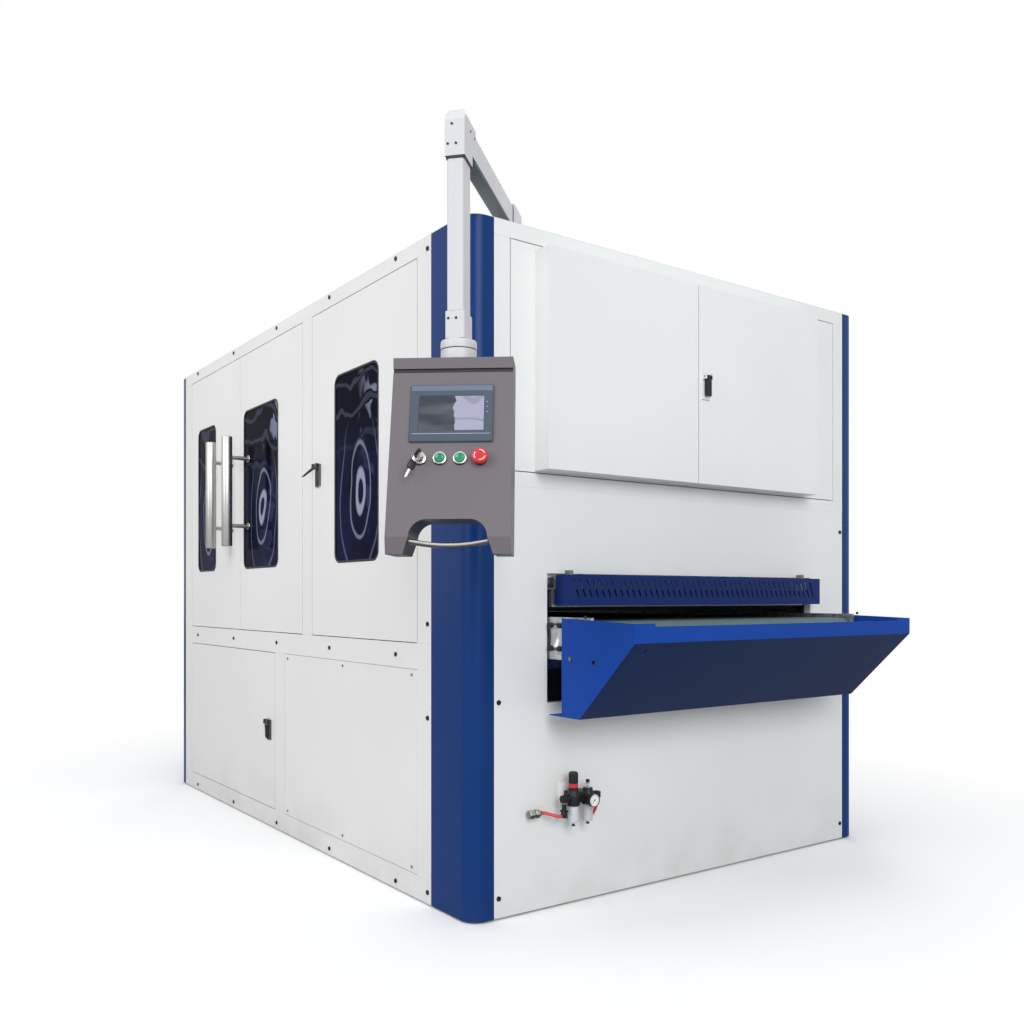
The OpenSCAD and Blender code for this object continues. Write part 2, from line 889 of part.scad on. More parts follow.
// Cabinet door: a flush pan with a raised box that is open to the inside
module cabinet_door(w, side) {
  difference() {
    union() {
      door_leaf(w, cabinet_h);
      block([side, -raised_d, raised_low], [w, 0, cabinet_h - raised_high]);
    }
    block([side + sheet, -raised_d + sheet, raised_low + sheet],
      [w - sheet, sheet + over, cabinet_h - raised_high - sheet]);
  }
}

module at_cabinet_left() {
  on_front() translate([-cabinet_w / 2, 0, cabinet_z]) children();
}

module at_cabinet_right() {
  on_front() translate([cabinet_w / 2, 0, cabinet_z]) mirror([1, 0, 0]) children();
}

module cabinet_door_left() color([0.90, 0.91, 0.90]) at_cabinet_left() {
  cabinet_door(cabinet_left_w, raised_side);
}

cabinet_lock_in = 30;
cabinet_lock_x = cabinet_right_w - cabinet_lock_in;
cabinet_lock_share = 0.4175;
cabinet_lock_z = cabinet_h * cabinet_lock_share;

module cabinet_door_right() color([0.90, 0.91, 0.90]) at_cabinet_right() {
  cabinet_door(cabinet_right_w, raised_right_side);
  translate([0, -raised_d, 0]) latch_plate(cabinet_lock_x, cabinet_lock_z);
}

module cabinet_lock() color([0.10, 0.10, 0.12]) at_cabinet_right() {
  translate([0, -raised_d, 0]) latch_lever(cabinet_lock_x, cabinet_lock_z, 0);
}

/* Electrical cabinet */

box_side_gap = 4;
box_x = frame_in_x - box_side_gap;
box_z = cabinet_z - header_drop;
box_top = top_rail_z - header_drop;
box_depth = 350;
box_rear = half_d - box_depth;

module cabinet_box() color([0.80, 0.81, 0.80]) difference() {
  block([-box_x, -frame_y, box_z], [box_x, -box_rear, box_top]);
  block([-box_x + sheet, -frame_y - over, box_z + sheet], [box_x - sheet, -box_rear - sheet, box_top - sheet]);
}

plate_margin = 60;
gear_plate_t = 3;
drive_count = 3;
drive_w = 140;
drive_d = 120;
contactor_count = 10;
contactor_w = 46;
contactor_d = 80;
duct_d = 60;
// Rows of devices from the plate's bottom, as shares of its height: lowest and highest edge
drive_row_shares = [0.48, 0.895];
contactor_row_shares = [0.104, 0.249];
duct_rows_shares = [[0.004, 0.073], [0.305, 0.374]];

plate_rear = -box_rear - sheet;
plate_face = plate_rear - gear_plate_t;
plate_low = box_z + plate_margin;
plate_high = box_top - plate_margin;
plate_left = -box_x + plate_margin;

module device_row(count, w, d, gap, shares) {
  for (i = [0:count - 1]) {
    x = plate_left + plate_margin + i * (w + gap);
    block([x, plate_face - seam - d, along(plate_low, plate_high, shares[0])],
      [x + w, plate_face - seam, along(plate_low, plate_high, shares[1])]);
  }
}

// Mounting plate with a row of drives, a row of contactors and wiring ducts
module control_gear() color([0.72, 0.73, 0.74]) {
  block([plate_left, plate_face, plate_low], [-plate_left, plate_rear, plate_high]);
  device_row(drive_count, drive_w, drive_d, plate_margin, drive_row_shares);
  device_row(contactor_count, contactor_w, contactor_d, 2 * sheet, contactor_row_shares);
  for (shares = duct_rows_shares) device_row(1, -2 * (plate_left + plate_margin), duct_d, 0, shares);
}

/* Processing head */

tower_w = 120;
tie_gap = 44;
tower_top = tension_z + drum_r + tie_gap;
tie_h = 60;
tie_z = tower_top + tie_h;
// Rail behind the front panel over the feed opening, with a bar that hangs from it
front_rail_t = 15;
front_rail_gap = 5;
front_rail_z = 992;
front_rail_lap = 60;
edge_bar_drop = 50;
edge_bar_h = 6;

module head_frame() color([0.33, 0.37, 0.43]) {
  for (y = [-foot_y, foot_y]) {
    box_tube([-frame_in_x, y - tube / 2, beam_z], [frame_in_x, y + tube / 2, beam_z + beam_h], 0);
  }
  both_x() {
    box_tube([beam_in_x, -frame_in_y + seam, beam_z], [beam_x, frame_in_y - seam, beam_z + beam_h], 1);
    box_tube([beam_x + seam, mid_post_y - tube / 2, beam_z],
      [frame_in_x, mid_post_y + tube / 2, beam_z + beam_h], 0);
    difference() {
      block([beam_in_x, sanding_y - tower_w / 2, beam_z + beam_h + seam],
        [beam_x, sanding_y + tower_w / 2, tie_z]);
      rod_x(head_shaft_r + shaft_clearance, beam_in_x - over, beam_x + over, sanding_y, tension_z);
    }
  }
  rail_x = opening_w / 2 - front_rail_gap;
  block([-rail_x, -frame_y - front_rail_t, front_rail_z], [rail_x, -frame_y, beam_z + front_rail_lap]);
  bar_x = guard_w / 2;
  bar_top = front_rail_z - edge_bar_drop;
  block([-bar_x, -frame_y - front_rail_t, bar_top - edge_bar_h], [bar_x, -frame_y - seam, bar_top]);
  for (u = [-bar_x, bar_x - front_rail_t]) {
    block([u, -frame_y - front_rail_t, bar_top], [u + front_rail_t, -frame_y - seam, front_rail_z]);
  }
  tie_x = beam_in_x - seam;
  box_tube([-tie_x, sanding_y - tower_w / 2, tower_top], [tie_x, sanding_y + tower_w / 2, tie_z], 0);
}

head_block_w = 140;
head_block_drop = 60;

// A bearing block that hangs under a beam
module bearing_block(x0, x1, y, z, w, low, r) {
  difference() {
    block([x0, y - w / 2, low], [x1, y + w / 2, beam_z]);
    rod_x(r + shaft_clearance, x0 - over, x1 + over, y, z);
  }
}

module bearing_blocks() color([0.72, 0.73, 0.74]) both_x() {
  for (place = [[sanding_y, drum_z], [brush_1_y, brush_z], [brush_2_y, brush_z]]) {
    bearing_block(beam_in_x, beam_x, place[0], place[1], head_block_w, place[1] - head_block_drop, head_shaft_r);
  }
  for (y = [-press_y, press_y]) {
    bearing_block(press_block_x, press_block_x + press_block_w, y, press_z, press_block_w,
      press_block_z, press_shaft_r);
  }
}

// Plan of a belt round two equal rollers, centred on the first one, the second one at the given distance
module belt_outline(r, distance, t) {
  difference() {
    union() {
      circle(r + t);
      translate([distance, 0]) circle(r + t);
      translate([0, -r - t]) square([distance, 2 * (r + t)]);
    }
    circle(r);
    translate([distance, 0]) circle(r);
    translate([0, -r]) square([distance, 2 * r]);
  }
}

// Extrude an outline across the machine; its x axis points along, or upwards when turned
module across(w, y, z, turned = 0) {
  translate([-w / 2, y, z]) rotate([90, 0, 90]) rotate([0, 0, turned]) linear_extrude(w) children();
}

module sanding_belt() color([0.45, 0.22, 0.12]) {
  across(sanding_w, sanding_y, drum_z, 90) belt_outline(drum_r + belt_gap, tension_z - drum_z, sanding_t);
}

// A roller across the machine with a shaft at each end
module roller(r, face_w, shaft_r, shaft_half, y, z) {
  rod_x(r, -face_w / 2, face_w / 2, y, z);
  rod_x(shaft_r, -shaft_half, shaft_half, y, z);
}

module contact_drum() color([0.20, 0.20, 0.22]) {
  roller(drum_r, sanding_w, head_shaft_r, shaft_half, sanding_y, drum_z);
}

module tension_roller() color([0.70, 0.71, 0.72]) {
  roller(drum_r, sanding_w, head_shaft_r, shaft_half, sanding_y, tension_z);
}

flap_t = 8;

module brush_roller(y) {
  roller(brush_core_r, sanding_w, head_shaft_r, shaft_half, y, brush_z);
  for (i = [0:brush_flaps - 1]) {
    translate([-sanding_w / 2, y, brush_z]) rotate([i * 360 / brush_flaps, 0, 0]) {
      block([0, brush_core_r / 2, -flap_t / 2], [sanding_w, brush_r, flap_t / 2]);
    }
  }
}

module brush_roller_front() color([0.55, 0.24, 0.12]) brush_roller(brush_1_y);
module brush_roller_rear() color([0.55, 0.24, 0.12]) brush_roller(brush_2_y);

module press_roller(y) {
  roller(press_r, roller_face_w, press_shaft_r, press_block_x + press_block_w, y, press_z);
}

module press_roller_front() color([0.62, 0.63, 0.62]) press_roller(-press_y);
module press_roller_rear() color([0.62, 0.63, 0.62]) press_roller(press_y);

motor_r = 92;
motor_len = 300;
motor_plate_t = 16;
motor_plate_w = 200;
foot_share = 0.8;
motor_foot_h = 10;
drive_guard_t = 50;
drive_guard_w = 180;
belt_motor_shift = 240;

// Motor on a bridge plate over the beams, with the guard of its belt drive outside the right beam
module head_motor(y, drive_y, low) {
  plate_z = beam_z + beam_h;
  motor_z = plate_z + motor_plate_t + motor_foot_h + motor_r;
  left = beam_in_x - motor_len;
  block([-beam_x, y - motor_plate_w / 2, plate_z], [beam_x, y + motor_plate_w / 2, plate_z + motor_plate_t]);
  block([left, y - motor_r * foot_share, plate_z + motor_plate_t + seam],
    [beam_in_x, y + motor_r * foot_share, motor_z]);
  rod_x(motor_r, left, beam_in_x, y, motor_z);
  rod_x(head_shaft_r / 2, beam_in_x + seam, beam_x, y, motor_z);
  low_y = min(y, drive_y) - drive_guard_w / 2;
  high_y = max(y, drive_y) + drive_guard_w / 2;
  block([beam_x + seam, low_y, low], [beam_x + drive_guard_t, high_y, motor_z + motor_r]);
}

module head_motors() color([0.20, 0.32, 0.55]) {
  low = drum_z - head_block_drop;
  head_motor(sanding_y + belt_motor_shift, sanding_y, low);
  head_motor(brush_1_y, brush_1_y, low);
  head_motor(brush_2_y, brush_2_y, low);
}

/* Conveyor table */

bolt_r = 8;
bolt_t = 5;

module conveyor_frame() color([0.70, 0.71, 0.72]) {
  both_x() difference() {
    block([plate_in_x, -roller_y - plate_end, plate_z], [plate_x, roller_y + plate_end, plate_top]);
    for (y = [-roller_y, roller_y]) {
      rod_x(roller_shaft_r + shaft_clearance, plate_in_x - over, plate_x + over, y, roller_z);
    }
  }
  bed_top = belt_top - belt_t - belt_gap;
  bed_end = roller_y - 2 * roller_r;
  inner_x = plate_in_x - seam;
  block([-inner_x, -bed_end, bed_top - bed_t], [inner_x, bed_end, bed_top]);
  tube_z = bed_top - bed_t - bed_tube_h - seam;
  for (share = [-0.9, -0.45, 0, 0.45, 0.9]) {
    y = bed_end * share;
    box_tube([-inner_x, y - bed_tube_w / 2, tube_z], [inner_x, y + bed_tube_w / 2, tube_z + bed_tube_h], 0);
  }
  for (y = [-jack_y, jack_y]) {
    box_tube([-plate_x, y - table_beam_w / 2, plate_z - table_beam_h],
      [plate_x, y + table_beam_w / 2, plate_z - seam], 0);
  }
  bolt_out = [17, 63];
  bolt_rise = [34, 105];
  for (out = bolt_out, rise = bolt_rise) {
    rod_x(bolt_r, -plate_x - bolt_t, -plate_x, -half_d - out, plate_z + rise);
  }
}

module conveyor_belt() color([0.30, 0.41, 0.42]) {
  across(belt_w, -roller_y, roller_z) belt_outline(roller_r + belt_gap, 2 * roller_y, belt_t);
}

gear_reach = 111;
drive_end = plate_x + gear_reach;

module tail_roller() color([0.65, 0.66, 0.67]) {
  roller(roller_r, roller_face_w, roller_shaft_r, plate_x, -roller_y, roller_z);
}

module drive_roller() color([0.65, 0.66, 0.67]) {
  roller(roller_r, roller_face_w, roller_shaft_r, plate_x, roller_y, roller_z);
  rod_x(roller_shaft_r, plate_x, drive_end, roller_y, roller_z);
}

gear_w = 110;
gear_h = 130;
gear_boss_r = 30;
gear_motor_r = 44;
gear_motor_len = 230;

module conveyor_motor() color([0.20, 0.32, 0.55]) {
  gear_x = tray_w / 2 + 2 * sheet;
  difference() {
    union() {
      block([gear_x, roller_y - gear_w / 2, roller_z - gear_h / 2],
        [drive_end, roller_y + gear_w / 2, roller_z + gear_h / 2]);
      rod_x(gear_boss_r, plate_x, gear_x, roller_y, roller_z);
      translate([(gear_x + drive_end) / 2, roller_y, roller_z - gear_h / 2 - gear_motor_len]) {
        cylinder(r = gear_motor_r, h = gear_motor_len);
      }
    }
    rod_x(roller_shaft_r + shaft_clearance, plate_x - over, drive_end + over, roller_y, roller_z);
  }
}

tray_back = 89;
tray_toe = 172;
tray_flange_back = 30;
tray_lip = 46;
tray_lip_h = 46;
lip_block_w = 78;
lip_block_rise = 9;

// Outline of a tray's cheek: x is the distance outside the cabinet, y is the height over the tray's bottom
module cheek_outline() {
  top = tray_drop + cheek_rise;
  lip_z = tray_drop - tray_lip - 2 * tray_t;
  polygon([
    [tray_back, 0], [tray_toe, 0], [tray_reach, lip_z],
    [tray_reach, lip_z + tray_lip_h + lip_block_rise], [tray_reach - tray_t, top - cheek_rise + tray_t],
    [tray_back, top]
  ]);
}

slope_slot_r = 5;
slope_slot_len = 26;
slope_slot_in = 62;
slope_slot_share = 0.89;

// One feed tray on the infeed side: two cheeks, the sloping sheet, the lip and the rear flange
module feed_tray(shaft_hole) {
  bottom = belt_top - tray_drop;
  lip_z = tray_drop - tray_lip - 2 * tray_t;
  slope = atan2(lip_z, tray_reach - tray_toe);
  slope_len = norm([lip_z, tray_reach - tray_toe]);
  difference() {
    union() {
      for (x = [-tray_w / 2, tray_w / 2 - tray_t]) {
        translate([x, -half_d, bottom]) rotate([90, 0, 90]) mirror([1, 0, 0]) {
          linear_extrude(tray_t) cheek_outline();
        }
      }
      translate([-tray_w / 2, -half_d - tray_toe, bottom]) rotate([-slope, 0, 0]) {
        translate([0, -slope_len, 0]) cube([tray_w, slope_len, tray_t]);
      }
      translate([-tray_w / 2, -half_d - tray_toe, bottom]) {
        cube([tray_w, tray_toe - tray_flange_back, tray_t]);
      }
      translate([-tray_w / 2, -half_d - tray_reach, bottom + lip_z]) cube([tray_w, tray_t, tray_lip_h]);
      for (x = [-tray_w / 2, tray_w / 2 - lip_block_w]) {
        translate([x, -half_d - tray_reach, bottom + lip_z]) {
          cube([lip_block_w, tray_t, tray_lip_h + lip_block_rise]);
        }
      }
    }
    if (shaft_hole) {
      rod_x(gear_boss_r + tray_t, plate_x, tray_w, -roller_y, roller_z);
    }
    for (x = [-tray_w / 2 + slope_slot_in, tray_w / 2 - slope_slot_in]) {
      translate([x, -half_d - tray_toe, bottom]) rotate([-slope, 0, 0]) {
        translate([-slope_slot_r, -slope_len * slope_slot_share - slope_slot_len / 2, -over]) {
          linear_extrude(tray_t + 2 * over) {
            rounded_outline(2 * slope_slot_r, slope_slot_len, slope_slot_r);
          }
        }
      }
    }
  }
  for (x = [-tray_w / 2 + tray_t, plate_x]) {
    rod_x(bolt_r, x, x + tray_w / 2 - tray_t - plate_x, -roller_y + roller_shaft_r, plate_z + 1.5 * bolt_r);
  }
}

module feed_trays() color([0.08, 0.24, 0.65]) {
  feed_tray(false);
  mirror([0, 1, 0]) feed_tray(true);
}

screw_grip_h = 10;
screw_low = base_top + jack_h - screw_grip_h;

module lift_screws() color([0.75, 0.76, 0.78]) both_x() both_y() {
  translate([jack_x, jack_y, screw_low]) cylinder(r = screw_r, h = plate_z - table_beam_h - screw_low);
}

jack_floor = 5;
chain_guard_h = 40;
chain_guard_w = 60;
lift_motor_r = 70;
lift_motor_len = 180;

// Four screw housings, the guards of the chain that joins them, and the lifting motor
module jack_housings() color([0.20, 0.32, 0.55]) {
  both_x() both_y() difference() {
    union() {
      translate([jack_x - jack_w / 2, jack_y - jack_w / 2, base_top]) cube([jack_w, jack_w, jack_h]);
      translate([jack_x, jack_y, base_top]) cylinder(r = jack_tube_r, h = jack_h + jack_tube_h);
    }
    translate([jack_x, jack_y, base_top + jack_floor]) {
      cylinder(r = screw_r + shaft_clearance, h = jack_h + jack_tube_h);
    }
  }
  low = base_top;
  high = base_top + chain_guard_h;
  guard_y = jack_y - jack_w / 2 - seam;
  guard_x = jack_x - jack_w / 2 - seam;
  both_x() block([jack_x - chain_guard_w / 2, -guard_y, low], [jack_x + chain_guard_w / 2, guard_y, high]);
  both_y() block([-guard_x, jack_y - chain_guard_w / 2, low], [guard_x, jack_y + chain_guard_w / 2, high]);
  translate([0, jack_y, high + seam]) {
    cylinder(r = lift_motor_r, h = lift_motor_len);
  }
}

/* Infeed guard */

guard_bottom = guard_top - guard_h;
slot_w = 6;
slot_share = 0.62;
slot_centre_share = 0.57;
first_slot_in = 34;
last_slot_in = 51;
post_notch_gap = 4;
// Reach of a post notch in front of the pivot, so that the lid clears the post as it opens
post_notch_reach = 27;

module infeed_guard() color([0.07, 0.12, 0.38]) on_front() {
  front = -guard_d - guard_pivot_out / 2;
  rear = -guard_pivot_out / 2;
  rod_x(guard_pin_r, -guard_w / 2, guard_w / 2, -guard_pivot_out, guard_pivot_z);
  difference() {
    union() {
      block([-guard_w / 2, front, guard_bottom], [guard_w / 2, front + sheet, guard_top]);
      block([-guard_w / 2, front, guard_top - sheet], [guard_w / 2, rear, guard_top]);
      block([-guard_w / 2, front, guard_bottom], [-guard_w / 2 + sheet, rear, guard_top]);
      block([guard_w / 2 - sheet, front, guard_bottom], [guard_w / 2, rear, guard_top]);
    }
    pitch = (guard_w - first_slot_in - last_slot_in) / (guard_slots - 1);
    middle = guard_bottom + guard_h * slot_centre_share;
    for (i = [0:guard_slots - 1]) {
      translate([-guard_w / 2 + first_slot_in + i * pitch, front - over, middle]) {
        rotate([0, -slot_slant, 0]) translate([-slot_w / 2, 0, -guard_h * slot_share / 2]) {
          cube([slot_w, sheet + 2 * over, guard_h * slot_share]);
        }
      }
    }
    notch = guard_post_w / 2 + post_notch_gap;
    for (u = [-guard_post_x, guard_post_x]) {
      block([u - notch, -guard_pivot_out - post_notch_reach, guard_top - sheet - over],
        [u + notch, 0, guard_top + over]);
    }
  }
}

/* Air service unit */

body_r = 21;
body_h = 50;
body_out = 45;
bowl_r = 17;
bowl_h = 55;
knob_r = 15;
knob_h = 42;
ring_h = 14;
gauge_r = 21;
gauge_t = 14;
gauge_out = 26;
gauge_drop = 7;
dome_r = 13;
dome_h = 26;
port_r = 11;
port_len = 26;
bracket_t = 4;
frl_bracket_h = 40;
regulator_x = half_w - regulator_in;
lubricator_x = -regulator_x + frl_pitch;
knob_pin_r = 5;
coupling_in = 222;
coupling_x = -half_w + coupling_in;
coupling_z = 306;
coupling_r = 14;
coupling_len = 46;

// Regulator, lubricator and the block between them, on a bracket, with gauge, ports and valve
module air_service_unit() color([0.12, 0.13, 0.16]) on_front() {
  low = frl_z - body_h / 2;
  difference() {
    union() {
      for (x = [-regulator_x, lubricator_x]) {
        translate([x, -body_out, low]) cylinder(r = body_r, h = body_h);
      }
      block([-regulator_x, -body_out - body_r / 2, frl_z - body_r / 2],
        [lubricator_x, -body_out + body_r / 2, frl_z + body_r]);
      block([-regulator_x, -body_out, frl_z - frl_bracket_h / 2],
        [lubricator_x, -bracket_t, frl_z + frl_bracket_h / 2]);
      block([-regulator_x - body_r, -bracket_t, frl_z - frl_bracket_h],
        [lubricator_x + body_r, 0, frl_z + frl_bracket_h]);
      rod_x(port_r, -regulator_x - body_r - port_len, -regulator_x, -body_out, frl_z);
      rod_x(port_r, lubricator_x, lubricator_x + body_r + port_len, -body_out, frl_z);
      translate([lubricator_x, -body_out, frl_z]) cylinder(r = dome_r, h = body_h / 2 + dome_h);
      translate([-regulator_x, -body_out, frl_z]) cylinder(r = knob_r, h = body_h / 2 + ring_h);
    }
    translate([-regulator_x, -body_out, frl_z + ring_h]) {
      cylinder(r = knob_pin_r + pin_clearance, h = body_h + ring_h);
    }
  }
  valve_x = -regulator_x - body_r - port_len;
  block([valve_x, -body_out - valve_w / 2, frl_z - valve_drop],
    [valve_x + valve_w, -body_out + valve_w / 2, frl_z - port_r]);
  port_x = lubricator_x + body_r + port_len - port_r;
  translate([port_x, -body_out, frl_z - elbow_drop]) cylinder(r = port_r, h = elbow_drop);
  gauge_x = lubricator_x - gauge_r / 2;
  stem_len = body_r + gauge_out - gauge_t;
  translate([gauge_x, -body_out, frl_z - gauge_drop]) rotate([90, 0, 0]) cylinder(r = dome_r, h = stem_len);
  translate([gauge_x, -body_out - stem_len, frl_z - gauge_drop]) rotate([90, 0, 0]) {
    cylinder(r = gauge_r, h = gauge_t);
  }
  coupling_out = coupling_r + bracket_t;
  rod_x(coupling_r, coupling_x - coupling_len / 2, coupling_x + coupling_len / 2, -coupling_out, coupling_z);
  block([coupling_x - coupling_r, -coupling_r, coupling_z - coupling_r / 2],
    [coupling_x + coupling_r, 0, coupling_z + coupling_r / 2]);
}

module regulator_knob() color([0.10, 0.10, 0.11]) on_front() {
  translate([-regulator_x, -body_out, frl_z]) {
    translate([0, 0, body_h / 2 + ring_h + belt_gap]) cylinder(r = knob_r, h = knob_h);
    translate([0, 0, ring_h + seam]) cylinder(r = knob_pin_r, h = body_h / 2 + ring_h);
  }
}

module filter_bowls() color([0.80, 0.83, 0.84, 0.5]) on_front() {
  for (x = [-regulator_x, lubricator_x]) {
    translate([x, -body_out, frl_z - body_h / 2 - bowl_h]) {
      cylinder(r = bowl_r, h = bowl_h);
      translate([0, 0, -bowl_r / 2]) cylinder(r = bowl_r / 3, h = bowl_r / 2);
    }
  }
}

// Points along a cubic curve with four hand-set points
function curve_point(p, t) =
  pow(1 - t, 3) * p[0] + 3 * t * pow(1 - t, 2) * p[1] + 3 * t * t * (1 - t) * p[2] + pow(t, 3) * p[3];

hose_rings = 12;
hose_sides = 8;

// A hose swept along a cubic curve
module hose(p, r) {
  points = [for (i = [0:hose_rings]) curve_point(p, i / hose_rings)];
  tangents = [
    for (i = [0:hose_rings])
      let (d = points[min(i + 1, hose_rings)] - points[max(i - 1, 0)]) d / norm(d)
  ];
  first = p[1] - p[0];
  last = p[3] - p[2];
  rings = [
    for (i = [0:hose_rings])
      let (
        t = i == 0 ? first / norm(first) : i == hose_rings ? last / norm(last) : tangents[i],
        side = cross(t, hose_plane) / norm(cross(t, hose_plane)),
        up = cross(side, t)
      )
      for (k = [0:hose_sides - 1])
        points[i] + r * (cos(k * 360 / hose_sides) * side + sin(k * 360 / hose_sides) * up)
  ];
  walls = [
    for (i = [0:hose_rings - 1], k = [0:hose_sides - 1])
      let (a = i * hose_sides + k, b = i * hose_sides + (k + 1) % hose_sides)
      each [[a, b, b + hose_sides], [a, b + hose_sides, a + hose_sides]]
  ];
  start = [for (k = [1:hose_sides - 2]) [0, k + 1, k]];
  end_low = hose_rings * hose_sides;
  end = [for (k = [1:hose_sides - 2]) [end_low, end_low + k, end_low + k + 1]];
  polyhedron(points = rings, faces = concat(walls, start, end));
}

// Direction that no stretch of a hose runs along
hose_plane = [0.1, 1, 0.1];
valve_w = 22;
valve_drop = 62;
elbow_drop = 24;

module air_hoses() color([0.80, 0.22, 0.24]) on_front() {
  valve_x = -regulator_x - body_r - port_len;
  valve_z = frl_z - valve_drop + 2 * hose_r;
  fitting_x = coupling_x + coupling_len / 2;
  reach = valve_x - fitting_x;
  hose([
    [valve_x, -body_out, valve_z], [valve_x - reach * 0.4, -body_out, valve_z],
    [fitting_x + reach * 0.4, -coupling_r - bracket_t, coupling_z],
    [fitting_x, -coupling_r - bracket_t, coupling_z]
  ], hose_r);
  port_x = lubricator_x + body_r + port_len - port_r;
  drop = body_h + bowl_h / 2;
  hose([
    [port_x, -body_out, frl_z - elbow_drop], [port_x, -body_out, frl_z - drop * 0.6],
    [port_x, -body_out * 0.5, frl_z - drop], [port_x, 0, frl_z - drop]
  ], hose_r);
}

/* Control pendant */

arm_flange_r = 60;
arm_flange_t = 12.5;
arm_pin_r = 20;
arm_pin_h = 90;
elbow_wall = 4;
elbow_sleeve = 35;
elbow_crown = 16;
elbow_low = height + arm_flange_t + seam - arm_z;
tube_corner_r = 8;
socket_z = 1711;
swivel_z = 1638;
swivel_r = 46;
drop_x = -arm_base_x + arm_reach * cos(arm_angle);
drop_y = -arm_base_y + arm_reach * sin(arm_angle);

module arm_base() color([0.62, 0.63, 0.65]) translate([-arm_base_x, -arm_base_y, height]) {
  cylinder(r = arm_flange_r, h = arm_flange_t);
  cylinder(r = arm_pin_r, h = arm_flange_t + arm_pin_h);
}

// Cast elbow with its pivot or tube at the origin and its sleeve towards +X
module elbow() {
  half = arm_h / 2 + elbow_wall;
  top = half + elbow_crown;
  across_half = arm_w / 2 + elbow_wall;
  intersection() {
    translate([0, across_half, 0]) rotate([90, 0, 0]) linear_extrude(2 * across_half) {
      polygon([
        [-half, elbow_low], [half, elbow_low], [half, -half], [half + elbow_sleeve, -half],
        [half + elbow_sleeve, half], [half, top], [-half + elbow_crown, top], [-half, half - elbow_crown]
      ]);
    }
    translate([-half, 0, 0]) rotate([90, 0, 90]) linear_extrude(2 * half + elbow_sleeve) {
      polygon([
        [-across_half, elbow_low], [across_half, elbow_low], [across_half, top - elbow_crown],
        [across_half - elbow_crown / 2, top], [-across_half + elbow_crown / 2, top],
        [-across_half, top - elbow_crown]
      ]);
    }
  }
}

// Coordinates with the pivot at the origin, the arm along +X and z = 0 at the arm's middle
module at_arm() {
  translate([-arm_base_x, -arm_base_y, arm_z]) rotate([0, 0, arm_angle]) children();
}

module drop_section(grow) {
  translate([-arm_h / 2 - grow, -arm_w / 2 - grow]) {
    rounded_outline(arm_h + 2 * grow, arm_w + 2 * grow, tube_corner_r);
  }
}

module support_arm() color([0.76, 0.77, 0.79]) at_arm() {
  sleeve = arm_h / 2 + elbow_wall + elbow_sleeve;
  difference() {
    elbow();
    translate([0, 0, elbow_low - over]) {
      cylinder(r = arm_pin_r + shaft_clearance, h = arm_pin_h + 2 * over);
    }
  }
  translate([arm_reach, 0, 0]) mirror([1, 0, 0]) elbow();
  translate([sleeve + seam, 0, 0]) rotate([90, 0, 90]) linear_extrude(arm_reach - 2 * (sleeve + seam)) {
    translate([-arm_w / 2, -arm_h / 2]) rounded_outline(arm_w, arm_h, tube_corner_r);
  }
  translate([arm_reach, 0, 0]) {
    translate([0, 0, socket_z + seam - arm_z]) {
      linear_extrude(arm_z + elbow_low - socket_z - 2 * seam) drop_section(0);
    }
    translate([0, 0, swivel_z + seam - arm_z]) {
      linear_extrude(socket_z - swivel_z - seam) drop_section(elbow_wall);
    }
    difference() {
      translate([0, 0, console_top + seam - arm_z]) cylinder(r = swivel_r, h = swivel_z - console_top - seam);
      translate([0, 0, console_top - arm_z]) {
        cylinder(r = arm_pin_r + shaft_clearance, h = console_pin_h + seam);
      }
    }
  }
}

console_pin_h = 30;
// The console's middle lies a little to the left of its swivel
console_shift = 8.5;
header_h = 29;
groove_h = 10;
groove_d = 6;
face_top_z = console_top - header_h - groove_h;
fold_h = 43;
fold_back = 6;
console_bottom = console_top - console_h;
face_low_z = console_bottom + fold_h;
face_h = face_top_z - face_low_z;
face_tilt = atan2(console_lean, face_h);
console_rear_low = 20;
console_rear_bend = 60;
arch_half = 98;
arch_h = 88;
arch_r = 45;
// Extra half width of the arch at the console's bottom
arch_flare = 14;

// Coordinates with the swivel's axis on z, the operator on the -Y side
module at_swivel() {
  translate([drop_x, drop_y, 0]) rotate([0, 0, -console_yaw]) children();
}

module at_console() {
  at_swivel() translate([-console_shift, 0, 0]) children();
}

// A place on the sloping face: u across from its middle, w down from its top, -Y out of the face
module on_face(u, w) {
  at_console() translate([u, -console_d / 2, face_top_z]) rotate([-face_tilt, 0, 0]) {
    translate([0, 0, -w]) children();
  }
}

// Side outline of the console: x is the depth, y the height
module console_outline() {
  front = -console_d / 2;
  low = front - console_lean;
  polygon([
    [front, console_top], [front, console_top - header_h], [front + groove_d, console_top - header_h],
    [front + groove_d, face_top_z], [front, face_top_z], [low, face_low_z], [low + fold_back, console_bottom],
    [-console_rear_low, console_bottom], [console_d / 2, console_top - console_rear_bend],
    [console_d / 2, console_top]
  ]);
}

// Places of the controls on the face
panel_w = 214;
panel_h = 159;
panel_t = 6;
panel_body_d = 34;
panel_body_margin = 12;
panel_fit = 1;
panel_drop = 38;
control_drop = 241;
key_u = -77;
start_u = -26;
reset_u = 25;
stop_u = 76;
bezel_r = 17;
bezel_t = 5;
button_r = 12;
button_fit = 0.3;
button_out = 9;
button_depth = 22;
stop_stem_r = 9;
stop_r = 21;
stop_head_t = 13;
stop_gap = 6;

module out_cylinder(r, from, to) {
  translate([0, -from, 0]) rotate([90, 0, 0]) cylinder(r = r, h = to - from);
}

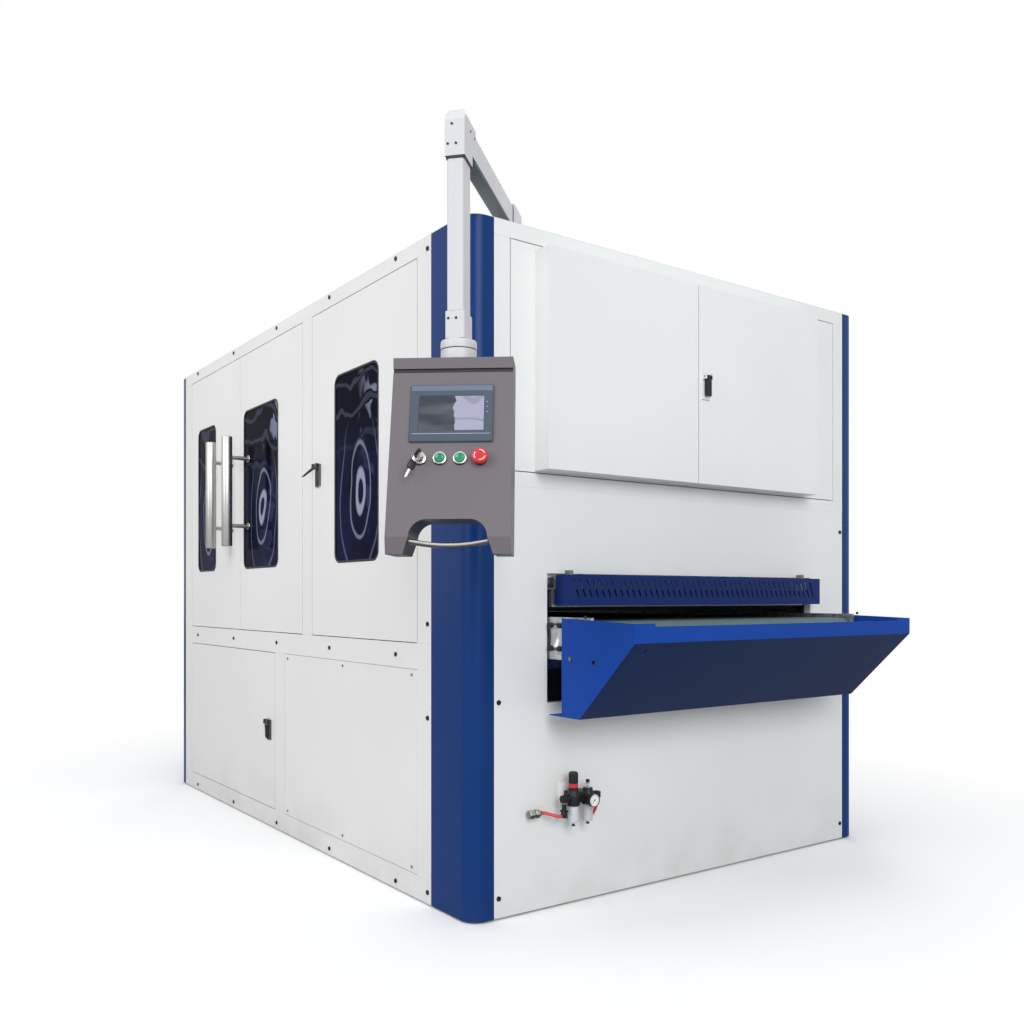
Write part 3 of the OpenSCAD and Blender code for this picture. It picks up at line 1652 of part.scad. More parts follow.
module console_housing() color([0.47, 0.44, 0.46]) {
  difference() {
    union() {
      at_console() translate([-console_w / 2, 0, 0]) rotate([90, 0, 90]) {
        linear_extrude(console_w) console_outline();
      }
      at_swivel() translate([0, 0, console_top - over]) cylinder(r = arm_pin_r, h = console_pin_h + over);
      for (u = [key_u, start_u, reset_u, stop_u]) {
        on_face(u, control_drop) out_cylinder(bezel_r, -over, bezel_t);
      }
    }
    at_console() {
      translate([0, console_d, console_bottom - over]) rotate([90, 0, 0]) {
        linear_extrude(3 * console_d) {
          polygon([
            [-arch_half - arch_flare, 0], [arch_half + arch_flare, 0],
            [arch_half, arch_h - arch_r], [-arch_half, arch_h - arch_r]
          ]);
          translate([-arch_half + arch_r, 0]) square([2 * (arch_half - arch_r), arch_h]);
          for (side = [-1, 1]) translate([side * (arch_half - arch_r), arch_h - arch_r]) circle(arch_r);
        }
      }
    }
    on_face(0, panel_drop + panel_h / 2) {
      inset = panel_body_margin - panel_fit;
      translate([-panel_w / 2 + inset, -over, -panel_h / 2 + inset]) {
        cube([panel_w - 2 * inset, panel_body_d + panel_fit + over, panel_h - 2 * inset]);
      }
    }
    for (u = [start_u, reset_u]) {
      on_face(u, control_drop) out_cylinder(button_r + button_fit, -button_depth, bezel_t + over);
    }
    for (u = [key_u, stop_u]) {
      on_face(u, control_drop) out_cylinder(stop_stem_r + pin_clearance, -button_depth, bezel_t + over);
    }
  }
}

module touch_panel() color([0.30, 0.35, 0.41]) on_face(0, panel_drop + panel_h / 2) {
  translate([-panel_w / 2, -panel_t - seam, -panel_h / 2]) cube([panel_w, panel_t, panel_h]);
  translate([-panel_w / 2 + panel_body_margin, -seam, -panel_h / 2 + panel_body_margin]) {
    cube([panel_w - 2 * panel_body_margin, panel_body_d + seam, panel_h - 2 * panel_body_margin]);
  }
}

handle_r = 7;
handle_sag = 11;
handle_rise = 33;
handle_back = 22;
// Extra sweep in degrees that is cut off flush with the arch
handle_overrun = 8;

module console_handle() color([0.80, 0.80, 0.81]) at_console() {
  arc_r = (arch_half * arch_half + handle_sag * handle_sag) / (2 * handle_sag);
  sweep = 2 * asin(arch_half / arc_r) + handle_overrun;
  front = -console_d / 2 - console_lean + handle_back;
  intersection() {
    translate([0, front, console_bottom + handle_rise - handle_sag + arc_r]) rotate([90, 0, 0]) {
      rotate([0, 0, -90 - sweep / 2]) rotate_extrude(angle = sweep, $fn = 180) {
        translate([arc_r, 0]) circle(handle_r, $fn = 32);
      }
    }
    block([-arch_half, front - 2 * handle_r, console_bottom], [arch_half, front + 2 * handle_r, console_top]);
  }
}

key_bow_w = 22;
key_bow_t = 4;
key_bow_h = 26;
key_blade = 12;
key_barrel_out = 9;
key_twist = 35;

module key_switch() color([0.12, 0.12, 0.13]) on_face(key_u, control_drop) {
  out_cylinder(stop_stem_r, -button_depth + seam, key_barrel_out);
  rotate([0, key_twist, 0]) {
    translate([-key_bow_t / 2, -key_barrel_out - key_blade, -key_bow_t]) {
      cube([key_bow_t, key_blade, 2 * key_bow_t]);
    }
    translate([-key_bow_t / 2, -key_barrel_out - key_blade - key_bow_h, -key_bow_w / 2]) {
      cube([key_bow_t, key_bow_h, key_bow_w]);
    }
  }
}

module push_button(u) {
  on_face(u, control_drop) out_cylinder(button_r, -button_depth + button_out, button_out);
}

module start_button() color([0.02, 0.50, 0.33]) push_button(start_u);
module reset_button() color([0.02, 0.50, 0.33]) push_button(reset_u);

module emergency_stop() color([0.85, 0.25, 0.27]) on_face(stop_u, control_drop) {
  out_cylinder(stop_stem_r, -button_depth + button_out, bezel_t + stop_gap + over);
  out_cylinder(stop_r, bezel_t + stop_gap, bezel_t + stop_gap + stop_head_t);
}

base_frame();
foot_plates();
corner_columns();
front_lower_panel();
front_upper_panel();
side_rails();
rear_panel();
roof_panel();
dust_spigots();
screwed_covers();
panel_screws();
hinge_brackets();
cabinet_box();
control_gear();
head_frame();
bearing_blocks();
sanding_belt();
head_motors();
jack_housings();
arm_base();
air_service_unit();
filter_bowls();
air_hoses();
regulator_knob();
cabinet_door_left();
cabinet_door_right();
cabinet_lock();
single_door();
single_door_window();
single_door_latch();
double_door_front();
double_door_front_window();
double_door_front_handle();
double_door_rear();
double_door_rear_window();
double_door_rear_handle();
lower_door();
lower_door_lock();
infeed_guard();
conveyor_frame();
conveyor_belt();
feed_trays();
conveyor_motor();
lift_screws();
tail_roller();
drive_roller();
contact_drum();
tension_roller();
brush_roller_front();
brush_roller_rear();
press_roller_front();
press_roller_rear();
support_arm();
console_housing();
touch_panel();
console_handle();
key_switch();
start_button();
reset_button();
emergency_stop();
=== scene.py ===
import json
from math import atan2, cos, pi, radians, sin

import bmesh
import bpy
from mathutils import Matrix, Vector

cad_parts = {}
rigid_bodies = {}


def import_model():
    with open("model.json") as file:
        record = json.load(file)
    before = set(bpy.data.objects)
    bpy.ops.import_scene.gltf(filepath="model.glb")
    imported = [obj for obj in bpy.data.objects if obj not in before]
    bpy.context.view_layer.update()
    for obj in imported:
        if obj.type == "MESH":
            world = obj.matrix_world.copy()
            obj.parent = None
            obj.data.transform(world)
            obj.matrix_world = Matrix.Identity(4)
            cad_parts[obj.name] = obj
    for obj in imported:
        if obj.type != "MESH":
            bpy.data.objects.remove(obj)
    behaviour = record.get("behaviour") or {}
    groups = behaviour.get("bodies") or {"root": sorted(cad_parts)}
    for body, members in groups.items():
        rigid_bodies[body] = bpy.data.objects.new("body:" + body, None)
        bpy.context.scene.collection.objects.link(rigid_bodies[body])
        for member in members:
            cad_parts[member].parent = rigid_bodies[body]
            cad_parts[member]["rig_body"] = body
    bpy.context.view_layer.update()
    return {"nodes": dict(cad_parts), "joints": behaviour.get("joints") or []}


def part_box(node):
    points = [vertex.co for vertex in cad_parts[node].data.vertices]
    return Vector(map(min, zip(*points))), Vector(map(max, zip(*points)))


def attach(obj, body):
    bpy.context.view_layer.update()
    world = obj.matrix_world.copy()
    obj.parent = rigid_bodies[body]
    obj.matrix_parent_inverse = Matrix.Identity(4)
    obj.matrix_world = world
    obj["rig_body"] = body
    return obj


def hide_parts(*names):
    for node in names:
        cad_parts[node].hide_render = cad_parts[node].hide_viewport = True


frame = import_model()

bl_info = {
    "name": "Deburring Machine",
    "version": (1, 0, 0),
    "blender": (4, 5, 0),
    "location": "View3D > Sidebar > Deburring",
    "description": "Dresses the machine's frame with its finished sheets, fittings and controls",
    "category": "Object",
}


def joint(name):
    """The frame's joint of that name."""
    return next(j for j in frame["joints"] if j["name"] == name)


# Places that come from the frame
# the ears of the lower door's lock stand this far out of the left face
LOCK_EARS = 0.022
LEFT_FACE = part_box("lower_door")[0].x + LOCK_EARS
CONSOLE_AXIS = Vector(joint("console_swivel")["pos_m"])
FACE_OUT = -Vector(joint("start_push")["axis"])
CONSOLE_YAW = atan2(FACE_OUT.x, -FACE_OUT.y)
FACE_TILT = atan2(FACE_OUT.z, FACE_OUT.xy.length)


# Settings

class DeburrColours(bpy.types.PropertyGroup):
    """Colours of the machine's paints and plastics, in linear values"""

    def paint(label, hint, value):
        return bpy.props.FloatVectorProperty(name=label, description=hint, default=value, size=3, subtype="COLOR")

    sheets: paint("Sheets", "Powder coat of the front sheets and doors", (0.76, 0.775, 0.765))
    side_sheets: paint("Side sheets", "Powder coat of the side sheets and doors", (0.77, 0.77, 0.75))
    columns: paint("Columns", "Paint of the corner columns", (0.004, 0.034, 0.160))
    trays: paint("Trays", "Paint of the feed trays", (0.010, 0.058, 0.33))
    guard: paint("Guard", "Paint of the infeed guard", (0.006, 0.022, 0.13))
    arm: paint("Arm", "Paint of the pendant arm", (0.56, 0.56, 0.58))
    console: paint("Console", "Powder coat of the console", (0.150, 0.135, 0.146))
    bezel: paint("Bezel", "Plastic of the touch panel", (0.062, 0.078, 0.108))
    belt: paint("Belt", "Rubber of the conveyor belt", (0.07, 0.125, 0.135))
    hose: paint("Hoses", "Plastic of the air hoses", (0.62, 0.045, 0.05))
    start: paint("Push buttons", "Caps of the two push buttons", (0.0, 0.22, 0.10))
    stop: paint("Emergency stop", "Head of the emergency stop", (0.52, 0.024, 0.030))
    frame: paint("Frame", "Paint of the welded frame", (0.10, 0.12, 0.15))
    motors: paint("Motors", "Paint of motors and gear units", (0.035, 0.085, 0.24))
    window: paint("Windows", "Tinted glass of the doors", (0.0025, 0.0030, 0.010))

    del paint


class DeburrSizes(bpy.types.PropertyGroup):
    """Sizes of the details that the frame does not hold"""

    def length(label, hint, value):
        return bpy.props.FloatProperty(
            name=label, description=hint, default=value, min=0.0, subtype="DISTANCE", unit="LENGTH"
        )

    fold: length("Fold radius", "Rounding on the folds of the outer sheets", 0.0016)
    edge: length("Edge radius", "Rounding on machined and cast edges", 0.0011)
    seal: length("Window seal", "Width of the rubber seal round a window", 0.009)
    screw_r: length("Screw head", "Radius of a screw head on the sheets", 0.0075)

    del length


# Shader maths

class Socket:
    """A node's output that can be used in Python expressions."""

    def __init__(self, tree, output):
        self.tree = tree
        self.output = output

    def out(self, name):
        return Socket(self.tree, self.output.node.outputs[name])

    def maths(self, operation, *others):
        return self.tree.add("ShaderNodeMath", {"operation": operation}, self, *others)

    def __add__(self, other):
        return self.maths("ADD", other)

    __radd__ = __add__

    def __mul__(self, other):
        return self.maths("MULTIPLY", other)

    __rmul__ = __mul__

    def __sub__(self, other):
        return self.maths("SUBTRACT", other)

    def __rsub__(self, other):
        return self.tree.add("ShaderNodeMath", {"operation": "SUBTRACT"}, other, self)

    def ramp(self, low, high):
        """0 below low, 1 above high, and a straight line between them."""
        return self.tree.add(
            "ShaderNodeMapRange", {"clamp": True}, Value=self, From_Min=low, From_Max=high, To_Min=0.0, To_Max=1.0
        )


class Tree:
    """A node tree in the making, whose nodes all come from one method."""

    def __init__(self, tree):
        self.tree = tree

    def feed(self, socket, value):
        if isinstance(value, Socket):
            self.tree.links.new(value.output, socket)
        elif hasattr(socket.default_value, "__len__") and len(socket.default_value) == 4:
            socket.default_value = (*value[:3], 1.0)
        else:
            socket.default_value = value

    def add(self, kind, settings=None, *values, **named):
        """A node: its settings first, then its sockets by order or by name, with _ for a space."""
        node = self.tree.nodes.new(kind)
        for key, value in (settings or {}).items():
            setattr(node, key, value)
        for index, value in enumerate(values):
            self.feed(node.inputs[index], value)
        for key, value in named.items():
            self.feed(node.inputs[key.replace("_", " ")], value)
        return Socket(self, node.outputs[0] if node.outputs else None)


class Finish(Tree):
    """A material in the making, with a method for each thing that a finish is made of."""

    def __init__(self, name):
        self.material = bpy.data.materials.new(name)
        self.material.use_nodes = True
        super().__init__(self.material.node_tree)
        self.tree.nodes.clear()
        self.place = self.add("ShaderNodeTexCoord").out("Object")

    def stretched(self, scale):
        """Object coordinates with a scale for each axis."""
        return self.add("ShaderNodeMapping", {"vector_type": "POINT"}, self.place, Scale=scale)

    def noise(self, scale, detail=2.0, roughness=0.5, place=None):
        return self.add(
            "ShaderNodeTexNoise", None, Vector=place or self.place, Scale=scale, Detail=detail, Roughness=roughness
        )

    def waves(self, way, place=None, **named):
        return self.add(
            "ShaderNodeTexWave", {"wave_type": "BANDS", "bands_direction": way}, place or self.place, **named
        )

    def downward(self, low, high):
        """1 on faces that look down and 0 on those that don't; the mask of the painted shade below things."""
        facing = self.add("ShaderNodeSeparateXYZ", None, self.add("ShaderNodeNewGeometry").out("Normal")).out("Z")
        return 1.0 - facing.ramp(low, high)

    def tint(self, colour, other, share):
        """colour where share is 0, other where it is 1."""
        node = self.add("ShaderNodeMix", {"data_type": "RGBA"}).output.node
        for index, value in ((0, share), (6, colour), (7, other)):
            self.feed(node.inputs[index], value)
        return Socket(self, node.outputs[2])

    def bump(self, height, strength, distance):
        return self.add("ShaderNodeBump", None, Strength=strength, Distance=distance, Height=height)

    def surface(self, **named):
        """The shader that ends the material."""
        self.add("ShaderNodeOutputMaterial", None, Surface=self.add("ShaderNodeBsdfPrincipled", None, **named))
        return self.material


def shade(colour, factor):
    return tuple(min(1.0, c * factor) for c in colour)


# Finishes

def powder_coat(name, colour, gloss=0.42, peel=0.10, dust=0.0, chalk=0.05, shine=0.35, painted_shade_below=None):
    """Stove enamel on sheet metal: orange peel, faint clouds and dust near the floor, and, where a colour for below is
    given, painted shade on the faces that look down.
    """
    f = Finish(name)
    clouds = f.noise(1.3, 3.0, 0.55)
    fine = f.noise(420.0, 2.0, 0.6)
    colours = f.tint(colour, shade(colour, 1.0 - chalk), clouds.ramp(0.35, 0.7))
    colours = f.tint(colours, shade(colour, 0.93), fine.ramp(0.45, 0.75) * 0.35)
    if dust:
        low = 1.0 - f.add("ShaderNodeSeparateXYZ", None, f.place).out("Z").ramp(0.0, 0.35)
        patches = f.noise(5.0, 4.0, 0.6).ramp(0.35, 0.75)
        colours = f.tint(colours, (0.30, 0.28, 0.25), low * low * patches * dust)
    # painted shade: faces that look down take a darker colour in place of the shade beneath them
    if painted_shade_below:
        colours = f.tint(colours, painted_shade_below, f.downward(-0.45, -0.12))
    rough = clouds * 0.10 + fine * 0.06 + (gloss - 0.08)
    skin = f.noise(190.0, 2.0, 0.45)
    return f.surface(Base_Color=colours, Roughness=rough, Normal=f.bump(skin, peel, 0.0008), Specular_IOR_Level=shine)


def brushed_steel(name, colour, scale, rough=0.28, metal=1.0, painted_shade_below=None):
    """Ground or brushed metal; scale stretches the brush marks along one axis; where a colour for below is given, faces
    that look down get painted shade.
    """
    f = Finish(name)
    marks = f.noise(1.0, 3.0, 0.7, f.stretched(scale))
    stains = f.noise(7.0, 3.0, 0.6)
    colours = f.tint(shade(colour, 0.86), colour, marks.ramp(0.3, 0.7))
    colours = f.tint(colours, shade(colour, 0.8), stains.ramp(0.5, 0.8) * 0.4)
    # painted shade: faces that look down take a darker colour in place of the shade beneath them
    if painted_shade_below:
        colours = f.tint(colours, painted_shade_below, f.downward(-0.35, 0.25))
    return f.surface(
        Base_Color=colours, Metallic=metal, Roughness=marks * 0.16 + stains * 0.08 + (rough - 0.1),
        Normal=f.bump(marks, 0.05, 0.0003)
    )


def cast_metal(name, colour, metal=0.0, rough=0.55):
    """A painted or bare casting with its sandy skin."""
    f = Finish(name)
    skin = f.noise(240.0, 4.0, 0.65)
    patches = f.noise(14.0, 3.0, 0.6)
    colours = f.tint(colour, shade(colour, 0.78), patches.ramp(0.4, 0.75) * 0.6)
    return f.surface(
        Base_Color=colours, Metallic=metal, Roughness=skin * 0.2 + (rough - 0.1), Normal=f.bump(skin, 0.22, 0.0012)
    )


def zinc_plate(name):
    """Galvanised sheet with its spangle."""
    f = Finish(name)
    spangle = f.add("ShaderNodeTexVoronoi", None, Vector=f.place, Scale=70.0)
    tone = f.add("ShaderNodeSeparateColor", None, spangle.out("Color"))
    colours = f.tint((0.40, 0.42, 0.44), (0.62, 0.64, 0.66), tone)
    return f.surface(
        Base_Color=colours, Metallic=0.9, Roughness=tone * 0.18 + 0.28, Normal=f.bump(spangle, 0.04, 0.0004)
    )


def moulded_plastic(name, colour, rough=0.4, grain=0.10, coat=0.0):
    """Moulded plastic with a fine eroded grain."""
    f = Finish(name)
    skin = f.noise(900.0, 2.0, 0.5)
    wear = f.noise(30.0, 3.0, 0.6)
    colours = f.tint(colour, shade(colour, 1.25), wear.ramp(0.5, 0.8) * 0.25)
    return f.surface(
        Base_Color=colours, Roughness=wear * 0.12 + (rough - 0.05), Normal=f.bump(skin, grain, 0.0003),
        Coat_Weight=coat, Specular_IOR_Level=0.25
    )


def glass_with_painted_reflections(name, colour, middle):
    """Dark tinted safety glass with painted reflections: pale rings and patches and bands of a room painted into its
    colour; middle is the rings' (y, z).
    """
    f = Finish(name)
    parts = f.add("ShaderNodeSeparateXYZ", None, f.place)
    bend = f.noise(2.6, 2.0, 0.5)
    across = (parts.out("Y") - middle[0] + bend * 0.12 - 0.06) * 14.0
    up = (parts.out("Z") - middle[1] + bend * 0.10 - 0.05) * 6.2
    ring = (across * across + up * up).maths("SQRT")
    eye = ring.ramp(0.26, 0.32) * (1.0 - ring.ramp(0.50, 0.58))
    second = ring.ramp(0.98, 1.02) * (1.0 - ring.ramp(1.07, 1.12))
    above = parts.out("Z").ramp(middle[1] + 0.12, middle[1] + 0.26)
    third = ring.ramp(1.92, 1.96) * (1.0 - ring.ramp(2.02, 2.08)) * (1.0 - above)
    room = f.noise(1.0, 3.0, 0.6, f.stretched((1.0, 7.0, 4.0)))
    beams = f.waves("Z", f.stretched((1.0, 1.5, 1.0)), Scale=2.6, Distortion=6.0, Detail=2.0, Detail_Scale=1.6)
    front = (middle[0] - parts.out("Y")).ramp(-0.02, 0.10)
    patches = room.ramp(0.52, 0.56) * front * (0.15 + above * 0.85) * (1.0 - beams.ramp(0.72, 0.80))
    lines = beams.ramp(0.90, 0.96) * above * 0.22
    # painted reflection: a darker lower part, pale patches and bands of a room, and the pale rings, all in the glass's
    # colour
    colours = f.tint(colour, (0.006, 0.008, 0.040), (1.0 - above) * room.ramp(0.3, 0.6))
    colours = f.tint(colours, (0.25, 0.27, 0.40), patches * 0.7 + lines * 0.6)
    colours = f.tint(colours, (0.34, 0.37, 0.50), eye * 0.8 + second * 0.45 + third * 0.22)
    return f.surface(
        Base_Color=colours, Roughness=room * 0.06 + 0.05, Normal=f.bump(room, 0.05, 0.001), Specular_IOR_Level=0.01
    )


def screen_with_painted_reflection(name):
    """The dark screen with a painted reflection: a pale window of reflected light painted on its right half."""
    f = Finish(name)
    way = Vector((cos(CONSOLE_YAW), sin(CONSOLE_YAW), 0.0))
    across = f.add("ShaderNodeVectorMath", {"operation": "DOT_PRODUCT"}, f.place, way).out("Value")
    across = across - way.dot(CONSOLE_AXIS)
    waves = f.noise(1.0, 2.0, 0.5, f.stretched((6.0, 6.0, 26.0)))
    # painted reflection: the pale part right of a wavy line across the screen
    pale = (across + waves * 0.036).ramp(0.0165, 0.0185)
    lines = f.waves("Z", Scale=5.0, Distortion=7.0, Detail=1.0, Detail_Scale=1.5)
    dark = f.tint((0.040, 0.046, 0.060), (0.088, 0.098, 0.118), waves.ramp(0.42, 0.66))
    light = f.tint((0.315, 0.315, 0.415), (0.235, 0.240, 0.330), lines.ramp(0.90, 0.99))
    return f.surface(Base_Color=f.tint(dark, light, pale), Roughness=waves * 0.1 + 0.16, Specular_IOR_Level=0.2)


def clear_bowl(name):
    """Clear moulded bowl with water marks."""
    f = Finish(name)
    marks = f.noise(60.0, 3.0, 0.6)
    return f.surface(
        Base_Color=f.tint((0.80, 0.84, 0.86), (0.66, 0.72, 0.76), marks.ramp(0.4, 0.7)), Roughness=marks * 0.1 + 0.03,
        Alpha=0.45, IOR=1.5
    )


def belt_rubber(name, colour):
    """Conveyor belt rubber: a fine cloth print, scuffs along the run and grey dust."""
    f = Finish(name)
    weave = f.waves("X", Scale=190.0) * f.waves("Y", Scale=190.0)
    scuffs = f.noise(1.0, 4.0, 0.65, f.stretched((60.0, 2.5, 60.0)))
    dust = f.noise(9.0, 4.0, 0.6)
    colours = f.tint(colour, shade(colour, 1.5), scuffs.ramp(0.45, 0.8) * 0.5)
    colours = f.tint(colours, (0.22, 0.25, 0.25), dust.ramp(0.5, 0.85) * 0.3)
    return f.surface(
        Base_Color=colours, Roughness=scuffs * 0.2 + 0.55, Normal=f.bump(weave + scuffs * 0.4, 0.3, 0.0006)
    )


def smooth_rubber(name, colour, rough=0.5):
    """Plain rubber or hose plastic with a soft bloom."""
    f = Finish(name)
    bloom = f.noise(40.0, 3.0, 0.6)
    return f.surface(
        Base_Color=f.tint(colour, shade(colour, 1.35), bloom.ramp(0.45, 0.8) * 0.4),
        Roughness=bloom * 0.2 + (rough - 0.1), Normal=f.bump(bloom, 0.08, 0.0004)
    )


def abrasive(name, colour):
    """Grit bonded to cloth."""
    f = Finish(name)
    grit = f.add("ShaderNodeTexVoronoi", None, Vector=f.place, Scale=700.0)
    worn = f.noise(4.0, 3.0, 0.6)
    colours = f.tint(colour, shade(colour, 0.45), grit.ramp(0.2, 0.6))
    colours = f.tint(colours, shade(colour, 1.4), worn.ramp(0.5, 0.8) * 0.4)
    return f.surface(Base_Color=colours, Roughness=grit * 0.2 + 0.7, Normal=f.bump(grit, 0.5, 0.001))


def make_finishes(colours):
    """Every finish by the name that the pieces use."""
    even = (300.0, 300.0, 300.0)
    near_black = (0.012, 0.012, 0.014)
    return {
        "sheets": powder_coat("sheet_coat", colours.sheets, 0.40, 0.07, dust=0.25),
        "side_sheets": powder_coat("side_sheet_coat", colours.side_sheets, 0.42, 0.07, dust=0.3),
        "columns": powder_coat("column_paint", colours.columns, 0.28, 0.05, dust=0.03, chalk=0.08, shine=0.14),
        # the trays, arm and console get painted shade on their faces that look down
        "trays": powder_coat(
            "tray_paint", colours.trays, 0.36, 0.08, chalk=0.12, shine=0.07, painted_shade_below=(0.003, 0.018, 0.078)
        ),
        "guard": powder_coat("guard_paint", colours.guard, 0.38, 0.08, chalk=0.15, shine=0.14),
        "arm": powder_coat("arm_paint", colours.arm, 0.38, 0.08, painted_shade_below=(0.10, 0.12, 0.13)),
        "console": powder_coat(
            "console_coat", colours.console, 0.46, 0.14, chalk=0.08, shine=0.2, painted_shade_below=(0.045, 0.040, 0.044)
        ),
        # the console's paint darkened: painted shade for the strip in the header groove
        "groove": powder_coat("groove_coat", shade(colours.console, 0.38), 0.5, 0.1, shine=0.1),
        "frame": powder_coat("frame_paint", colours.frame, 0.5, 0.12, chalk=0.2),
        "motors": cast_metal("motor_paint", colours.motors, 0.0, 0.42),
        "cast": cast_metal("bare_casting", (0.20, 0.21, 0.22), 0.3, 0.5),
        "zinc": zinc_plate("zinc_plate"),
        "steel": brushed_steel("ground_steel", (0.52, 0.53, 0.55), (4.0, 900.0, 900.0), 0.3),
        "handle": brushed_steel("handle_steel", (0.50, 0.49, 0.47), (700.0, 700.0, 6.0), 0.38),
        # chrome and nickel fittings get painted shade on their faces that look down
        "chrome": brushed_steel("chrome_plate", (0.60, 0.60, 0.60), (60.0, 60.0, 60.0), 0.2, painted_shade_below=(0.12, 0.115, 0.10)),
        "bright": brushed_steel("nickel_fitting", (0.42, 0.42, 0.40), even, 0.30, painted_shade_below=(0.12, 0.12, 0.11)),
        "black_steel": brushed_steel("black_oxide", near_black, even, 0.45, 0.2),
        "black": moulded_plastic("black_plastic", near_black, 0.38),
        "slate": moulded_plastic("slate_plastic", colours.bezel, 0.42),
        "grey_plastic": moulded_plastic("grey_plastic", (0.45, 0.46, 0.47), 0.45),
        "start": moulded_plastic("push_button_cap", colours.start, 0.22, 0.02, 0.5),
        "stop": moulded_plastic("stop_head", colours.stop, 0.3, 0.03, 0.3),
        "single_door_window": glass_with_painted_reflections("single_door_glass", colours.window, (-0.665, 1.345)),
        "double_door_front_window": glass_with_painted_reflections("front_leaf_glass", colours.window, (0.235, 1.345)),
        "double_door_rear_window": glass_with_painted_reflections("rear_leaf_glass", colours.window, (0.945, 1.345)),
        "bowl": clear_bowl("bowl_plastic"),
        "belt": belt_rubber("belt_rubber", colours.belt),
        "hose": smooth_rubber("hose_plastic", colours.hose, 0.32),
        "drum": smooth_rubber("drum_rubber", (0.018, 0.018, 0.02), 0.6),
        "seal": smooth_rubber("seal_rubber", (0.010, 0.010, 0.012), 0.55),
        "grit": abrasive("grit_cloth", (0.20, 0.055, 0.025)),
        "rail": brushed_steel("aluminium_rail", (0.50, 0.51, 0.52), (3.0, 500.0, 500.0), 0.4, 0.6),
        "mark": moulded_plastic("stop_mark", (0.78, 0.55, 0.54), 0.4),
        "screen": screen_with_painted_reflection("screen_glass"),
        "slate_light": moulded_plastic("slate_bevel", shade(colours.bezel, 1.9), 0.38),
        "screen_edge": moulded_plastic("panel_line", (0.26, 0.30, 0.36), 0.35),
        "lamp_lens": moulded_plastic("lamp_lens", (0.25, 0.34, 0.33), 0.3),
        "red_plastic": moulded_plastic("red_plastic", (0.62, 0.03, 0.04), 0.35),
        "oil": smooth_rubber("machine_oil", (0.50, 0.40, 0.16), 0.2),
        "sheet_screw": brushed_steel("sheet_screw", (0.42, 0.43, 0.44), even, 0.35),
        "white": moulded_plastic("white_plastic", (0.80, 0.80, 0.79), 0.3),
    }


# Mesh helpers

FINISHES = {}
TREES = {}
WELD = 2e-5
FLAT = radians(0.4)
SMOOTH_BELOW = 35.0
UP = (0, 0, 1)
ALONG = (1, 0, 0)
OUT = (0, -1, 0)


def put(obj, node, replaces=False):
    """Sets an object on a node's body, in the node's stead where it replaces it."""
    bpy.context.scene.collection.objects.link(obj)
    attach(obj, frame["nodes"][node]["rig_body"])
    if replaces:
        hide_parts(node)
    return obj


def add_piece(name, mesh, node, finish, replaces=False):
    """A finished mesh as a piece on a node's body."""
    mesh.materials.clear()
    mesh.materials.append(FINISHES[finish])
    return put(bpy.data.objects.new(name, mesh), node, replaces)


def smooth(mesh, angle=SMOOTH_BELOW):
    """Smooth shading, with the edges sharper than the angle kept crisp."""
    mesh.shade_smooth()
    mesh.set_sharp_from_angle(angle=radians(angle))
    return mesh


def joined(node):
    """A CAD node's loose triangles, joined at their corners."""
    bm = bmesh.new()
    bm.from_mesh(frame["nodes"][node].data)
    bmesh.ops.remove_doubles(bm, verts=bm.verts, dist=WELD)
    return bm


def dress(node, finish, edge=0.0, angle=38.0):
    """The node with its flat faces cleared of seams, its edges rounded and its finish."""
    bm = joined(node)
    bmesh.ops.dissolve_limit(bm, angle_limit=FLAT, verts=bm.verts, edges=bm.edges)
    mesh = bpy.data.meshes.new(node + "_finish")
    bm.to_mesh(mesh)
    bm.free()
    obj = add_piece(node + "_finish", smooth(mesh, angle), node, finish, True)
    if edge:
        bevel = obj.modifiers.new("rounded edges", "BEVEL")
        bevel.width = edge
        bevel.segments = 2
        bevel.limit_method = "ANGLE"
        bevel.angle_limit = radians(angle)
        bevel.use_clamp_overlap = True
        obj.modifiers.new("flat faces stay flat", "WEIGHTED_NORMAL").keep_sharp = True


